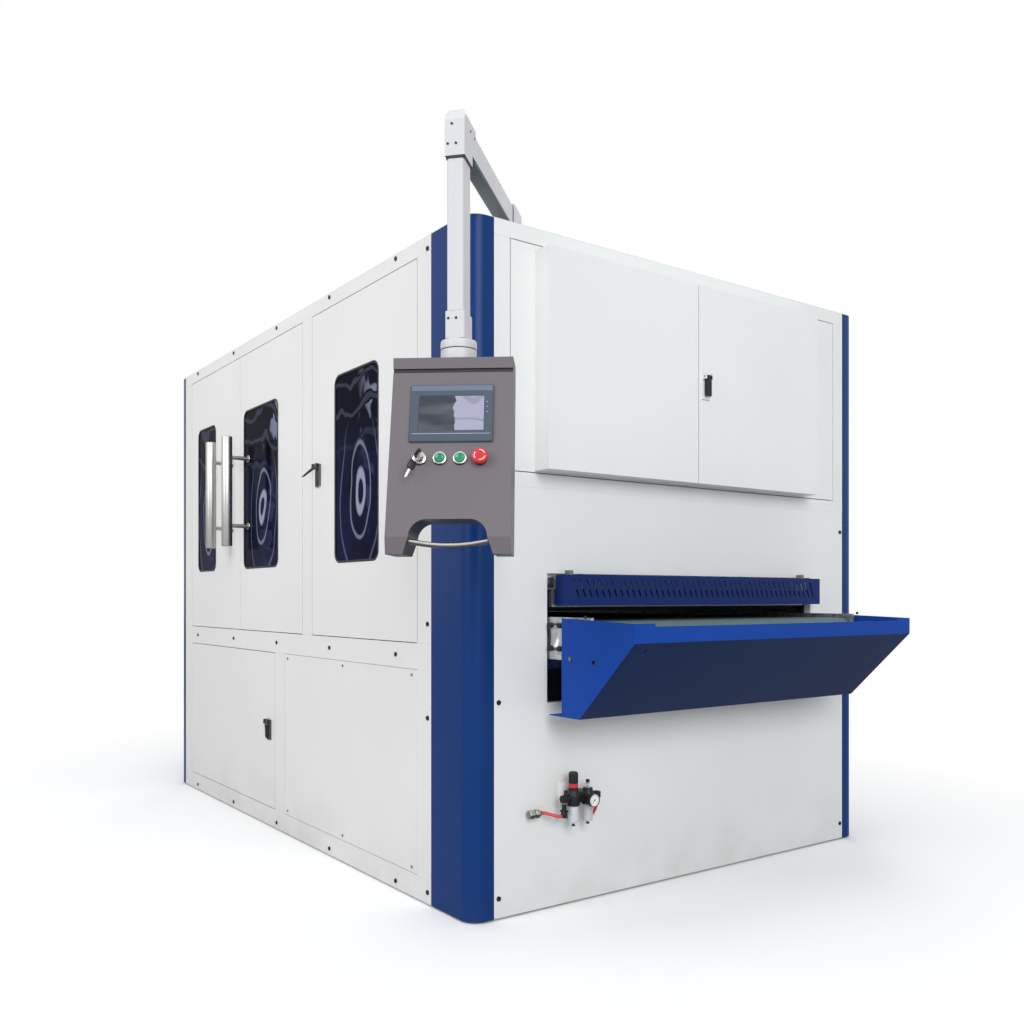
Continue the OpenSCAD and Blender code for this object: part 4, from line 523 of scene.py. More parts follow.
class Shape:
    """A mesh in the making. Forms are given in metres in the coordinates of its place."""

    # flutes cut every radius above this share of the widest
    fluted_from = 0.93

    def __init__(self, place=None):
        self.bm = bmesh.new()
        self.place = place or Matrix()

    def loft(self, sections, closed=False):
        """A skin through sections with the same number of points; closed joins the last to the first."""
        rings = [[self.bm.verts.new(self.place @ Vector(p)) for p in section] for section in sections]
        pairs = list(zip(rings, rings[1:] + rings[:1] if closed else rings[1:]))
        for low, high in pairs:
            for k in range(len(low)):
                n = (k + 1) % len(low)
                self.bm.faces.new((low[k], low[n], high[n], high[k]))
        if not closed:
            self.bm.faces.new(rings[0])
            self.bm.faces.new(rings[-1])
        return self

    def slab(self, outline, near, far, rim=0.0):
        """A plate in the X-Z plane from y = near to y = far, with a chamfered rim at its far side."""
        step = rim if far > near else -rim
        sections = [[(x, near, z) for x, z in outline], [(x, far - step, z) for x, z in outline]]
        if rim:
            cx = sum(p[0] for p in outline) / len(outline)
            cz = sum(p[1] for p in outline) / len(outline)
            reach_x = max(abs(p[0] - cx) for p in outline)
            reach_z = max(abs(p[1] - cz) for p in outline)
            sections.append([(
                cx + (x - cx) * (1 - rim / reach_x), far, cz + (z - cz) * (1 - rim / reach_z)
            ) for x, z in outline])
        return self.loft(sections)

    def lathe(self, profile, centre, axis=(0, 0, 1), sides=40, flutes=0, groove=0.0, closed=False):
        """A turned form: the profile is (radius, distance along the axis); flutes are cut into its widest part."""
        turn = Vector(axis).to_track_quat("Z", "Y").to_matrix()
        centre = Vector(centre)
        widest = max(r for r, _ in profile)
        sections = []
        for r, a in profile:
            section = []
            for k in range(sides):
                t = 2 * pi * k / sides
                cut = groove * (0.5 + 0.5 * cos(flutes * t)) if flutes and r > self.fluted_from * widest else 0.0
                section.append(centre + turn @ Vector(((r - cut) * cos(t), (r - cut) * sin(t), a)))
            sections.append(section)
        return self.loft(sections, closed)

    def lathes(self, profile, centres, *rest, **named):
        """The same turned form at each centre."""
        for centre in centres:
            self.lathe(profile, centre, *rest, **named)
        return self

    def tube(self, points, radius, sides=16):
        """A round bar along points; radius is a number, or one for each point."""
        points = [Vector(p) for p in points]
        radii = radius if hasattr(radius, "__len__") else [radius] * len(points)
        up = Vector((0.13, 0.21, 1.0)).normalized()
        sections = []
        for i, p in enumerate(points):
            along = (points[min(i + 1, len(points) - 1)] - points[max(i - 1, 0)]).normalized()
            if abs(along.dot(up)) > 0.95:
                up = Vector((1.0, 0.17, 0.05)).normalized()
            side = along.cross(up).normalized()
            up = side.cross(along).normalized()
            sections.append([
                p + radii[i] * (cos(2 * pi * k / sides) * side + sin(2 * pi * k / sides) * up) for k in range(sides)
            ])
        return self.loft(sections)

    def box(self, low, high, edge=0.0):
        """A block between two corners with rounded edges."""
        low, high = Vector(low), Vector(high)
        made = bmesh.ops.create_cube(self.bm, size=1.0)
        for v in made["verts"]:
            v.co = Vector(low[i] + (v.co[i] + 0.5) * (high[i] - low[i]) for i in range(3))
        if edge:
            edges = list({e for v in made["verts"] for e in v.link_edges})
            cut = bmesh.ops.bevel(self.bm, geom=edges, offset=edge, segments=2, profile=0.5, affect="EDGES")
            verts = list({v for f in cut["faces"] for v in f.verts})
        else:
            verts = made["verts"]
        bmesh.ops.transform(self.bm, matrix=self.place, verts=verts)
        return self

    def fit(self, name, node, finish, replaces=False):
        """The finished mesh as a piece on a node's body."""
        bmesh.ops.remove_doubles(self.bm, verts=self.bm.verts, dist=1e-6)
        bmesh.ops.recalc_face_normals(self.bm, faces=self.bm.faces)
        mesh = bpy.data.meshes.new(name)
        self.bm.to_mesh(mesh)
        self.bm.free()
        return add_piece(name, smooth(mesh), node, finish, replaces)


def rounded(w, h, r, centre=(0.0, 0.0), steps=6):
    """Outline of a rectangle with rounded corners."""
    points = []
    for cx, cz, start in ((1, 1, 0), (-1, 1, 90), (-1, -1, 180), (1, -1, 270)):
        for k in range(steps + 1):
            t = radians(start + 90 * k / steps)
            points.append((
                centre[0] + cx * (w / 2 - r) + r * cos(t), centre[1] + cz * (h / 2 - r) + r * sin(t)
            ))
    return points


def at_y(outline, y):
    """An outline of (x, z) as a section at that y."""
    return [(x, y, z) for x, z in outline]


def islands(node):
    """Lowest and highest corners of each separate form in a CAD node."""
    bm = joined(node)
    left = set(bm.verts)
    found = []
    while left:
        reach = [left.pop()]
        group = []
        while reach:
            v = reach.pop()
            group.append(v.co)
            for e in v.link_edges:
                other = e.other_vert(v)
                if other in left:
                    left.remove(other)
                    reach.append(other)
        found.append([Vector([pick(c[i] for c in group) for i in range(3)]) for pick in (min, max)])
    bm.free()
    return sorted(found, key=lambda pair: tuple(pair[0]))


class FormTree(Tree):
    """A Geometry Nodes tree that stands a form on each point, along the point's own direction."""

    def __init__(self, name, **inputs):
        super().__init__(bpy.data.node_groups.new(name, "GeometryNodeTree"))
        new_socket = self.tree.interface.new_socket
        new_socket("Geometry", in_out="INPUT", socket_type="NodeSocketGeometry")
        for label, value in inputs.items():
            new_socket(label, in_out="INPUT", socket_type="NodeSocketFloat").default_value = value
        new_socket("Finish", in_out="INPUT", socket_type="NodeSocketMaterial")
        new_socket("Geometry", in_out="OUTPUT", socket_type="NodeSocketGeometry")
        self.start = self.add("NodeGroupInput")

    def stand(self, form):
        """The last part of the tree: copies of the form on the points, in their finish."""
        facing = self.add("GeometryNodeInputNamedAttribute", {"data_type": "FLOAT_VECTOR"}, Name="facing")
        turn = self.add("FunctionNodeAlignRotationToVector", {"axis": "Z"}, Vector=facing.out("Attribute"))
        copies = self.add(
            "GeometryNodeInstanceOnPoints", None, Points=self.start.out("Geometry"), Instance=form, Rotation=turn
        )
        real = self.add("GeometryNodeRealizeInstances", None, copies)
        paint = self.add("GeometryNodeSetMaterial", None, Geometry=real, Material=self.start.out("Finish"))
        self.add("NodeGroupOutput", None, Geometry=paint)
        return self.tree


def head_tree():
    """Socket-head screws: a round head with a socket sunk into its top."""
    t = FormTree("screw_heads", radius=0.0075, height=0.003, share=0.5, depth=0.002, sides=18)
    height = t.start.out("height")
    head = t.add(
        "GeometryNodeMeshCylinder", None, Vertices=t.start.out("sides"), Radius=t.start.out("radius"), Depth=height
    )
    rim = t.add(
        "GeometryNodeExtrudeMesh", None, Mesh=head, Selection=head.out("Top"), Offset_Scale=0.0, Individual=False
    )
    shrunk = t.add(
        "GeometryNodeScaleElements", None, Geometry=rim, Selection=rim.out("Top"), Scale=t.start.out("share")
    )
    sunk = t.add(
        "GeometryNodeExtrudeMesh", None, Mesh=shrunk, Selection=rim.out("Top"),
        Offset_Scale=t.start.out("depth") * -1.0, Individual=False
    )
    lift = t.add("ShaderNodeCombineXYZ", None, Z=height * 0.5)
    return t.stand(t.add("GeometryNodeTransform", None, Geometry=sunk, Translation=lift))


def plate_tree():
    """Small plates, as wide, long and high as the inputs say."""
    t = FormTree("plates", width=0.001, length=0.001, height=0.001)
    size = t.add("ShaderNodeCombineXYZ", None, *(t.start.out(label) for label in ("width", "length", "height")))
    return t.stand(t.add("GeometryNodeMeshCube", None, Size=size))


def repeated(name, make_tree, points, node, finish, replaces=False, place=None, **inputs):
    """A piece made by a tree from points, each a place and the direction that its form faces."""
    place = place or Matrix()
    mesh = bpy.data.meshes.new(name + "_points")
    mesh.from_pydata([place @ Vector(p) for p, _ in points], [], [])
    facing = mesh.attributes.new("facing", "FLOAT_VECTOR", "POINT")
    for k, (_, direction) in enumerate(points):
        facing.data[k].vector = place.to_3x3() @ Vector(direction)
    obj = bpy.data.objects.new(name + "_points", mesh)
    bpy.context.scene.collection.objects.link(obj)
    if make_tree not in TREES:
        TREES[make_tree] = make_tree()
    modifier = obj.modifiers.new(name, "NODES")
    modifier.node_group = TREES[make_tree]
    for item in modifier.node_group.interface.items_tree:
        if item.in_out == "INPUT" and item.name in inputs:
            modifier[item.identifier] = inputs[item.name]
        elif item.name == "Finish":
            modifier[item.identifier] = FINISHES[finish]
    depsgraph = bpy.context.evaluated_depsgraph_get()
    plain = bpy.data.meshes.new_from_object(obj.evaluated_get(depsgraph), depsgraph=depsgraph)
    bpy.data.objects.remove(obj)
    bpy.data.meshes.remove(mesh)
    plain.name = name
    add_piece(name, smooth(plain), node, finish, replaces)


def screws(name, points, node, finish, radius, height, share, depth, sides, **more):
    """Screw heads on points; share is the socket's part of the head's width."""
    repeated(
        name, head_tree, points, node, finish, radius=radius, height=height, share=share, depth=depth, sides=sides,
        **more
    )


# Steps

class DEBURR_OT_finishes(bpy.types.Operator):
    """Make the paints, metals, plastics and glass"""
    bl_idname = "deburr.finishes"
    bl_label = "Finishes"

    def execute(self, context):
        FINISHES.update(make_finishes(context.scene.deburr_colours))
        return {"FINISHED"}


class DEBURR_OT_sheets(bpy.types.Operator):
    """Round the folds of the outer sheets and doors, and paint them and the corner columns"""
    bl_idname = "deburr.sheets"
    bl_label = "Sheets and doors"

    def execute(self, context):
        fold = context.scene.deburr_sizes.fold
        for node in (
            "front_lower_panel", "front_upper_panel", "rear_panel", "roof_panel", "cabinet_door_left",
            "cabinet_door_right"
        ):
            dress(node, "sheets", fold)
        for node in (
            "side_rails", "screwed_covers", "single_door", "double_door_front", "double_door_rear", "lower_door"
        ):
            dress(node, "side_sheets", fold)
        dress("corner_columns", "columns")
        return {"FINISHED"}


class DEBURR_OT_plain_nodes(bpy.types.Operator):
    """Give the frame, head and table their edges and finishes"""
    bl_idname = "deburr.plain_nodes"
    bl_label = "Frame, head and table"

    def execute(self, context):
        edge = context.scene.deburr_sizes.edge
        plan = {
            "frame": ("base_frame", "head_frame"),
            "zinc": ("foot_plates", "dust_spigots", "cabinet_box", "conveyor_frame"),
            "cast": ("bearing_blocks", "arm_base", "hinge_brackets"),
            "motors": ("head_motors", "jack_housings", "conveyor_motor"),
            "grey_plastic": ("control_gear",),
            "steel": ("lift_screws", "tail_roller", "drive_roller", "tension_roller"),
            "drum": ("contact_drum", "press_roller_front", "press_roller_rear"),
            "grit": ("sanding_belt", "brush_roller_front", "brush_roller_rear"),
            "belt": ("conveyor_belt",),
            "trays": ("feed_trays",),
            "guard": ("infeed_guard",),
            "arm": ("support_arm",),
            "console": ("console_housing",),
        }
        for finish, nodes in plan.items():
            for node in nodes:
                dress(node, finish, edge if finish in ("arm", "console", "trays", "cast", "motors", "frame") else 0.0)
        return {"FINISHED"}


# Places of the fittings

# the left face: x along it from rear to front, y into the machine, z up
LEFT_PLACE = Matrix(((0, 1, 0, LEFT_FACE), (-1, 0, 0, 0), (0, 0, 1, 0), (0, 0, 0, 1)))
# the arm: its pivot at the origin and the arm along x
ARM_PIVOT = Vector(joint("arm_swivel")["pos_m"])
ARM_LINE = (CONSOLE_AXIS - ARM_PIVOT).xy
ARM_REACH = ARM_LINE.length
ARM_PLACE = (
    Matrix.Translation((ARM_PIVOT.x, ARM_PIVOT.y, 0)) @ Matrix.Rotation(atan2(ARM_LINE.y, ARM_LINE.x), 4, "Z")
)
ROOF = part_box("roof_panel")[1].z
# the console: x across, -y out of its front, z up from the floor; its middle lies beside its swivel
HOUSING_SHIFT = (-0.0085, 0, 0)
CONSOLE_PLACE = (
    Matrix.Translation((CONSOLE_AXIS.x, CONSOLE_AXIS.y, 0)) @ Matrix.Rotation(CONSOLE_YAW, 4, "Z")
    @ Matrix.Translation(HOUSING_SHIFT)
)
# its sloping face: x across, -y out of it, -z down from its top
FACE_TOP = (0, -0.055, 1.546)
FACE_PLACE = CONSOLE_PLACE @ Matrix.Translation(FACE_TOP) @ Matrix.Rotation(-FACE_TILT, 4, "X")
TOUCH_MIDDLE = -0.1175
CONTROL_ROW = -0.241
START_X, RESET_X, KEY_X, STOP_X = -0.026, 0.025, -0.077, 0.076
# the air service unit on the front sheet
AIR_Y, AIR_Z = -1.425, 0.345
REGULATOR_X, LUBRICATOR_X, OUTLET_X, VALVE_X = -0.577, -0.519, -0.483, -0.613
REGULATOR, LUBRICATOR = (REGULATOR_X, AIR_Y, 0), (LUBRICATOR_X, AIR_Y, 0)
INLET_Y, INLET_Z = -1.398, 0.306


class DEBURR_OT_console(bpy.types.Operator):
    """Make the touch panel, the buttons with their bezels, the key and the emergency stop"""
    bl_idname = "deburr.console"
    bl_label = "Console controls"

    def execute(self, context):
        self.touch_panel()
        self.buttons()
        self.emergency_stop()
        # a dark strip laid in the header groove: painted shadow where the groove lies in shade
        Shape(CONSOLE_PLACE).box((-0.1550, -0.0500, 1.5463), (0.1550, -0.0488, 1.5557), 0.0004).fit(
            "console_groove_painted_shadow", "console_housing", "groove"
        )
        self.key()
        dress("console_handle", "chrome", 0.0, 50)
        return {"FINISHED"}

    def touch_panel(self):
        """The case with its screen, top strip, bottom line and three small lights."""
        node = "touch_panel"
        Shape(FACE_PLACE).loft([at_y(rounded(w, h, r, (0, TOUCH_MIDDLE)), y) for w, h, r, y in (
            (0.214, 0.159, 0.004, -0.0003), (0.214, 0.159, 0.004, -0.0040), (0.2095, 0.1545, 0.003, -0.0063),
            (0.1690, 0.0990, 0.002, -0.0063), (0.1665, 0.0965, 0.002, -0.0050)
        )]).box((-0.0945, -0.0002, TOUCH_MIDDLE - 0.067), (0.0945, 0.0335, TOUCH_MIDDLE + 0.067), 0.002).fit(
            "touch_panel_case", node, "slate", True
        )
        Shape(FACE_PLACE).slab(rounded(0.1655, 0.0955, 0.002, (0, TOUCH_MIDDLE)), -0.0049, -0.0054).fit(
            "touch_screen", node, "screen"
        )
        Shape(FACE_PLACE).loft([
            at_y(rounded(0.2085, 0.0150, 0.001, (0, -0.0480)), -0.0062),
            [(x, -0.0064 - max(0.0, (z + 0.0555) * 0.05), z) for x, z in rounded(0.2065, 0.0140, 0.001, (0, -0.0480))],
        ]).fit("touch_panel_top_strip", node, "slate_light")
        Shape(FACE_PLACE).slab(rounded(0.2000, 0.0022, 0.0008, (0, -0.1752)), -0.0062, -0.0068).fit(
            "touch_panel_bottom_line", node, "screen_edge"
        )
        Shape(FACE_PLACE).lathes(
            [(0.0019, 0.0062), (0.0017, 0.0067), (0.0006, 0.0070)], [(0.0905, 0, z) for z in (-0.087, -0.101, -0.115)],
            OUT, 12
        ).fit("touch_panel_lights", node, "lamp_lens")

    def buttons(self):
        """The bezels, the emergency stop's base and the two caps."""
        rings = Shape(FACE_PLACE)
        for x, inner in ((START_X, 0.01235), (RESET_X, 0.01235), (KEY_X, 0.0094)):
            rings.lathe([
                (0.01705, -0.0002), (0.01705, 0.0051), (inner, 0.0051), (inner, 0.0058), (inner + 0.0006, 0.0063),
                (0.0152, 0.0064), (0.0168, 0.0056), (0.0176, 0.0040), (0.0178, -0.0002),
            ], (x, 0, CONTROL_ROW), OUT, 56, closed=True)
        rings.fit("control_bezels", "console_housing", "chrome")
        Shape(FACE_PLACE).lathe([
            (0.01705, -0.0002), (0.01705, 0.0051), (0.0094, 0.0051), (0.0094, 0.0058), (0.0170, 0.0060),
            (0.0180, 0.0050), (0.0180, -0.0002),
        ], (STOP_X, 0, CONTROL_ROW), OUT, 48, closed=True).fit("emergency_stop_base", "console_housing", "black")
        for node, x in (("start_button", START_X), ("reset_button", RESET_X)):
            Shape(FACE_PLACE).lathe([
                (0.0119, -0.0129), (0.0119, 0.0074), (0.0116, 0.0084), (0.0108, 0.0090), (0.0096, 0.0089),
                (0.0088, 0.0084), (0.0030, 0.0082), (0.0004, 0.0082),
            ], (x, 0, CONTROL_ROW), OUT, 56).fit(node + "_cap", node, "start", True)

    def emergency_stop(self):
        """The mushroom head and the three curved marks on it."""
        node = "emergency_stop"
        Shape(FACE_PLACE).lathe([
            (0.0088, -0.0129), (0.0088, 0.0112), (0.0160, 0.0113), (0.0196, 0.0118), (0.0209, 0.0135), (0.0210, 0.0165),
            (0.0207, 0.0190), (0.0197, 0.0212), (0.0178, 0.0227), (0.0145, 0.0235), (0.0120, 0.0231), (0.0100, 0.0228),
            (0.0004, 0.0230),
        ], (STOP_X, 0, CONTROL_ROW), OUT, 64).fit("emergency_stop_head", node, "stop", True)
        marks = Shape(FACE_PLACE)
        for start in (20, 145, 268):
            arc = [radians(start + 7.4 * k) for k in range(11)]
            outline = [(r * cos(t), r * sin(t)) for r, turns in ((0.0122, arc), (0.0146, arc[::-1])) for t in turns]
            marks.loft([[(STOP_X + x, y, CONTROL_ROW + z) for x, z in outline] for y in (-0.0229, -0.02375)])
        marks.fit("emergency_stop_marks", node, "mark")

    def key(self):
        """The key in its barrel, and a spare one that hangs by a ring from the hole in its bow."""
        node = "key_switch"
        at = Vector((KEY_X, 0, CONTROL_ROW))
        Shape(FACE_PLACE).lathe([
            (0.0089, -0.0215), (0.0089, 0.0078), (0.0083, 0.0090), (0.0060, 0.0090), (0.0056, 0.0084), (0.0003, 0.0084)
        ], at, OUT, 40).fit("key_barrel", node, "chrome", True)
        down = (FACE_PLACE.to_3x3().inverted() @ Vector((0, 0, -1))).normalized()
        loop = at + Vector((-0.004, -0.0400, 0)) + 0.012 * down
        turns = [2 * pi * k / 28 for k in range(28)]
        ring = [loop + 0.0115 * (cos(t) * down + sin(t) * Vector((0.8, 0.6, 0))) for t in turns]
        Shape(FACE_PLACE).tube(ring + ring[:1], 0.0009, 8).fit("key_ring", node, "bright")
        sideways = (
            FACE_PLACE @ Matrix.Translation(at) @ Matrix.Rotation(radians(35), 4, "Y")
            @ Matrix(((0, 1, 0, 0), (1, 0, 0, 0), (0, 0, 1, 0), (0, 0, 0, 1)))
        )
        Shape(sideways).box((-0.0210, -0.0011, -0.0036), (-0.0080, 0.0011, 0.0036), 0.0004).fit(
            "key_blade", node, "bright"
        )
        self.bow(sideways, 0.026, 0.022, 0.007, (-0.0335, 0), 0.0021, "key_bow")
        spare = (
            FACE_PLACE @ Matrix.Translation(loop + 0.0105 * down + Vector((-0.006, 0.001, 0)))
            @ Matrix.Rotation(radians(24), 4, "Y") @ Matrix.Rotation(radians(28), 4, "Z")
        )
        self.bow(spare, 0.021, 0.025, 0.006, (0, -0.0095), 0.0018, "spare_key_bow")
        blade = (
            (-0.0032, -0.021), (0.0032, -0.021), (0.0032, -0.032), (0.0022, -0.0335), (0.0032, -0.035),
            (0.0024, -0.0375), (0.0032, -0.040), (0.0018, -0.0445), (-0.0018, -0.0465), (-0.0032, -0.043)
        )
        Shape(spare).loft([at_y(blade, y) for y in (-0.0008, 0.0008)]).fit("spare_key_blade", node, "bright")

    def bow(self, place, width, height, corner, middle, half, name):
        """A key's moulded bow with chamfered rims."""
        Shape(place).loft([
            at_y(rounded(width - 2 * cut, height - 2 * cut, corner, middle), y)
            for y, cut in ((-half, 0.001), (0.0005 - half, 0.0), (half - 0.0005, 0.0), (half, 0.001))
        ]).fit(name, "key_switch", "black")


class DEBURR_OT_arm(bpy.types.Operator):
    """Give the pendant arm its gaskets, swivel rings and screws"""
    bl_idname = "deburr.arm"
    bl_label = "Pendant arm"

    def execute(self, context):
        node = "support_arm"
        low = ROOF + 0.0125
        Shape(ARM_PLACE).loft([[(x, y, z) for x, y in rounded(w, d, 0.009, (ARM_REACH, 0))] for z, w, d in (
            (low - 0.0050, 0.0770, 0.0500), (low - 0.0045, 0.0785, 0.0515), (low + 0.0004, 0.0785, 0.0515)
        )]).fit("drop_tube_gasket", node, "seal")
        band = rounded(0.0490, 0.0760, 0.009, (0, 2.183))
        for name, ends in (
            ("inner_elbow_gasket", (0.0755, 0.0797)), ("outer_elbow_gasket", (ARM_REACH - 0.0797, ARM_REACH - 0.0755))
        ):
            Shape(ARM_PLACE).loft([[(x, y, z) for y, z in band] for x in ends]).fit(name, node, "seal")
        for name, finish, profile in (
            ("swivel_rings", "arm", (
                (0.0461, 1.5858), (0.0472, 1.5858), (0.0474, 1.5868), (0.0474, 1.6130), (0.0466, 1.6138),
                (0.0466, 1.6150), (0.0476, 1.6156), (0.0480, 1.6170), (0.0480, 1.6300), (0.0474, 1.6350),
                (0.0466, 1.6377), (0.0461, 1.6377)
            )),
            ("swivel_shadow_ring", "seal", ((0.0462, 1.6137), (0.0475, 1.6137), (0.0475, 1.6151), (0.0462, 1.6151))),
        ):
            Shape(ARM_PLACE).lathe(profile, (ARM_REACH, 0, 0), UP, 64, closed=True).fit(name, node, finish)
        points = [((ARM_REACH + 0.0405, y, z), ALONG) for y, z in (
            (-0.0185, 2.1445), (0.0036, 2.1445), (-0.0075, 2.196), (-0.0170, 1.6915), (0.0040, 1.6915)
        )]
        for side in (-1, 1):
            points += [((ARM_REACH - x, side * 0.0270, 2.200), (0, side, 0)) for x in (0.020, 0.062)]
            points += [((x, side * 0.0270, 2.165), (0, side, 0)) for x in (0.010, 0.062)]
        screws("arm_screws", points, node, "black_steel", 0.0034, 0.0012, 0.55, 0.0009, 16, place=ARM_PLACE)
        circle = 0.051
        bolts = [
            ((ARM_PIVOT.x + circle * cos(t), ARM_PIVOT.y + circle * sin(t), ROOF + 0.0114), UP)
            for t in (radians(a) for a in range(30, 390, 60))
        ]
        screws("arm_flange_bolts", bolts, "arm_base", "black_steel", 0.0055, 0.0012, 0.5, 0.0008, 20)
        return {"FINISHED"}


class DEBURR_OT_air_unit(bpy.types.Operator):
    """Make the regulator, lubricator, gauge, bowls, valve and coupling"""
    bl_idname = "deburr.air_unit"
    bl_label = "Air service unit"
    unit = "air_service_unit"

    def execute(self, context):
        self.heads()
        self.valve()
        self.knob()
        self.bowls()
        self.adjuster()
        self.gauge()
        self.coupling()
        return {"FINISHED"}

    def heads(self):
        """The two heads, the block between them, their mounting block, side ports and outlet elbow."""
        heads = Shape().lathes([
            (0.0150, 0.3202), (0.0185, 0.3202), (0.0204, 0.3215), (0.0209, 0.3245), (0.0209, 0.3520), (0.0200, 0.3560),
            (0.0175, 0.3600), (0.0155, 0.3640), (0.0150, 0.3700), (0.0100, 0.3702)
        ], (REGULATOR, LUBRICATOR), UP, 48)
        heads.box((REGULATOR_X, AIR_Y - 0.0115, 0.3330), (LUBRICATOR_X, AIR_Y + 0.0115, 0.3630), 0.003)
        heads.box((REGULATOR_X - 0.006, AIR_Y, 0.3270), (LUBRICATOR_X + 0.006, -1.3845, 0.3610), 0.002)
        heads.lathe([
            (0.0105, 0.000), (0.0105, 0.021), (0.0135, 0.0215), (0.0135, 0.0330), (0.0110, 0.0340), (0.0110, 0.0465),
            (0.0095, 0.0470)
        ], (REGULATOR_X, AIR_Y, AIR_Z), (-1, 0, 0), 32)
        heads.lathe([
            (0.0105, 0.000), (0.0105, 0.022), (0.0125, 0.0225), (0.0125, 0.0290), (0.0108, 0.0300), (0.0108, 0.0400)
        ], (LUBRICATOR_X, AIR_Y, AIR_Z), ALONG, 32)
        heads.box((-0.4940, AIR_Y - 0.0105, 0.3340), (-0.4722, AIR_Y + 0.0105, 0.3558), 0.004)
        heads.lathe([
            (0.0100, 0.3212), (0.0106, 0.3222), (0.0106, 0.3300), (0.0098, 0.3360)
        ], (OUTLET_X, AIR_Y, 0), UP, 28)
        heads.fit("air_unit_bodies", self.unit, "black", True)

    def valve(self):
        """The hand valve at the inlet, the nuts and the bracket behind the unit."""
        valve = Shape().tube([
            (VALVE_X, AIR_Y, 0.3335), (VALVE_X, AIR_Y, 0.3200), (-0.6145, AIR_Y, 0.3080), (-0.6170, AIR_Y, 0.2960)
        ], (0.0078, 0.0072, 0.0076, 0.0086), 20)
        valve.tube([
            (-0.6115, AIR_Y, 0.3100), (-0.6080, AIR_Y, 0.2980), (-0.6060, AIR_Y, 0.2850)
        ], (0.0066, 0.0060, 0.0050), 20)
        valve.lathe([
            (0.0055, -0.0105), (0.0068, -0.0100), (0.0068, 0.0010), (0.0058, 0.0068)
        ], (-0.6170, AIR_Y, 0.2930), (-1, 0, 0), 24)
        valve.box((-0.6220, AIR_Y - 0.0105, 0.3040), (-0.6050, AIR_Y + 0.0105, 0.3110), 0.002)
        valve.fit("hand_valve", self.unit, "black")
        nuts = Shape()
        for x, z, r, wide, rim, high, sides in (
            (-0.6060, 0.2838, 0.0046, 0.0062, 0.0004, 0.0038, 24), (VALVE_X, 0.3290, 0.0080, 0.0092, 0.0006, 0.0050, 6),
            (OUTLET_X, 0.3194, 0.0058, 0.0078, 0.0004, 0.0026, 6)
        ):
            nuts.lathe([(r, 0.0), (wide, rim), (wide, high - rim), (r, high)], (x, AIR_Y, z), UP, sides)
        nuts.fit("valve_nuts", self.unit, "bright")
        Shape().box((REGULATOR_X - 0.021, -1.3842, 0.3050), (LUBRICATOR_X + 0.021, -1.3802, 0.3850), 0.001).fit(
            "air_unit_bracket", self.unit, "sheets"
        )

    def knob(self):
        """The regulator's neck, red lock ring and grooved knob."""
        for name, node, finish, replaces, profile in (
            ("regulator_neck", self.unit, "black", False, (
                (0.0140, 0.3690), (0.0150, 0.3700), (0.0150, 0.3768), (0.0142, 0.3772)
            )),
            ("regulator_lock_ring", self.unit, "red_plastic", False, (
                (0.0142, 0.3771), (0.0152, 0.3775), (0.0152, 0.3836), (0.0140, 0.3839)
            )),
            ("regulator_knob_ring", "regulator_knob", "red_plastic", True, (
                (0.0138, 0.3843), (0.0151, 0.3847), (0.0151, 0.3890), (0.0142, 0.3894)
            )),
        ):
            Shape().lathe(profile, REGULATOR).fit(name, node, finish, replaces)
        Shape().lathe([
            (0.0140, 0.3892), (0.0149, 0.3900), (0.0149, 0.4160), (0.0145, 0.4205), (0.0128, 0.4240), (0.0100, 0.4256),
            (0.0005, 0.4262)
        ], REGULATOR, UP, 96, flutes=16, groove=0.0013).lathe(
            [(0.0049, 0.3593), (0.0049, 0.3845)], REGULATOR, UP, 20
        ).fit("regulator_knob_cap", "regulator_knob", "black")

    def bowls(self):
        """The clear bowls with the filter, the feed tube and the oil in them and their drains."""
        node = "filter_bowls"
        Shape().lathes([
            (0.0164, 0.3200), (0.0168, 0.3190), (0.0165, 0.2780), (0.0158, 0.2700), (0.0135, 0.2662), (0.0090, 0.2650),
            (0.0040, 0.2648), (0.0040, 0.2664), (0.0086, 0.2668), (0.0125, 0.2682), (0.0143, 0.2714), (0.0148, 0.2780),
            (0.0150, 0.3195),
        ], (REGULATOR, LUBRICATOR), UP, 48, closed=True).fit("bowls_clear", node, "bowl", True)
        Shape().lathe(
            [(0.0085, 0.2840), (0.0092, 0.2850), (0.0092, 0.3160), (0.0085, 0.3190)], REGULATOR, UP, 24, flutes=12,
            groove=0.0008
        ).tube([(LUBRICATOR_X, AIR_Y, 0.3190), (LUBRICATOR_X, AIR_Y, 0.2740)], 0.0022, 10).fit(
            "filter_inserts", node, "white"
        )
        Shape().lathe([
            (0.0040, 0.2670), (0.0122, 0.2686), (0.0141, 0.2716), (0.0146, 0.2780), (0.0146, 0.2860), (0.0030, 0.2860)
        ], LUBRICATOR, UP, 36).fit("lubricator_oil", node, "oil")
        Shape().lathes([
            (0.0030, 0.2568), (0.0054, 0.2572), (0.0056, 0.2600), (0.0044, 0.2604), (0.0044, 0.2660)
        ], (REGULATOR, LUBRICATOR), UP, 20).fit("bowl_drains", node, "black")

    def adjuster(self):
        """The lubricator's sight glass and the screw in it."""
        Shape().lathe([
            (0.0095, 0.3702), (0.0100, 0.3710), (0.0098, 0.3790), (0.0080, 0.3840), (0.0050, 0.3858)
        ], LUBRICATOR, UP, 32).fit("lubricator_sight_glass", self.unit, "bowl")
        Shape().lathe([(0.0128, 0.3660), (0.0128, 0.3695), (0.0105, 0.3703)], LUBRICATOR, UP, 32).lathe([
            (0.0034, 0.3705), (0.0034, 0.3860), (0.0058, 0.3864), (0.0062, 0.3880), (0.0060, 0.3945), (0.0044, 0.3960)
        ], LUBRICATOR, UP, 28, flutes=7, groove=0.0006).fit("lubricator_adjuster", self.unit, "black")

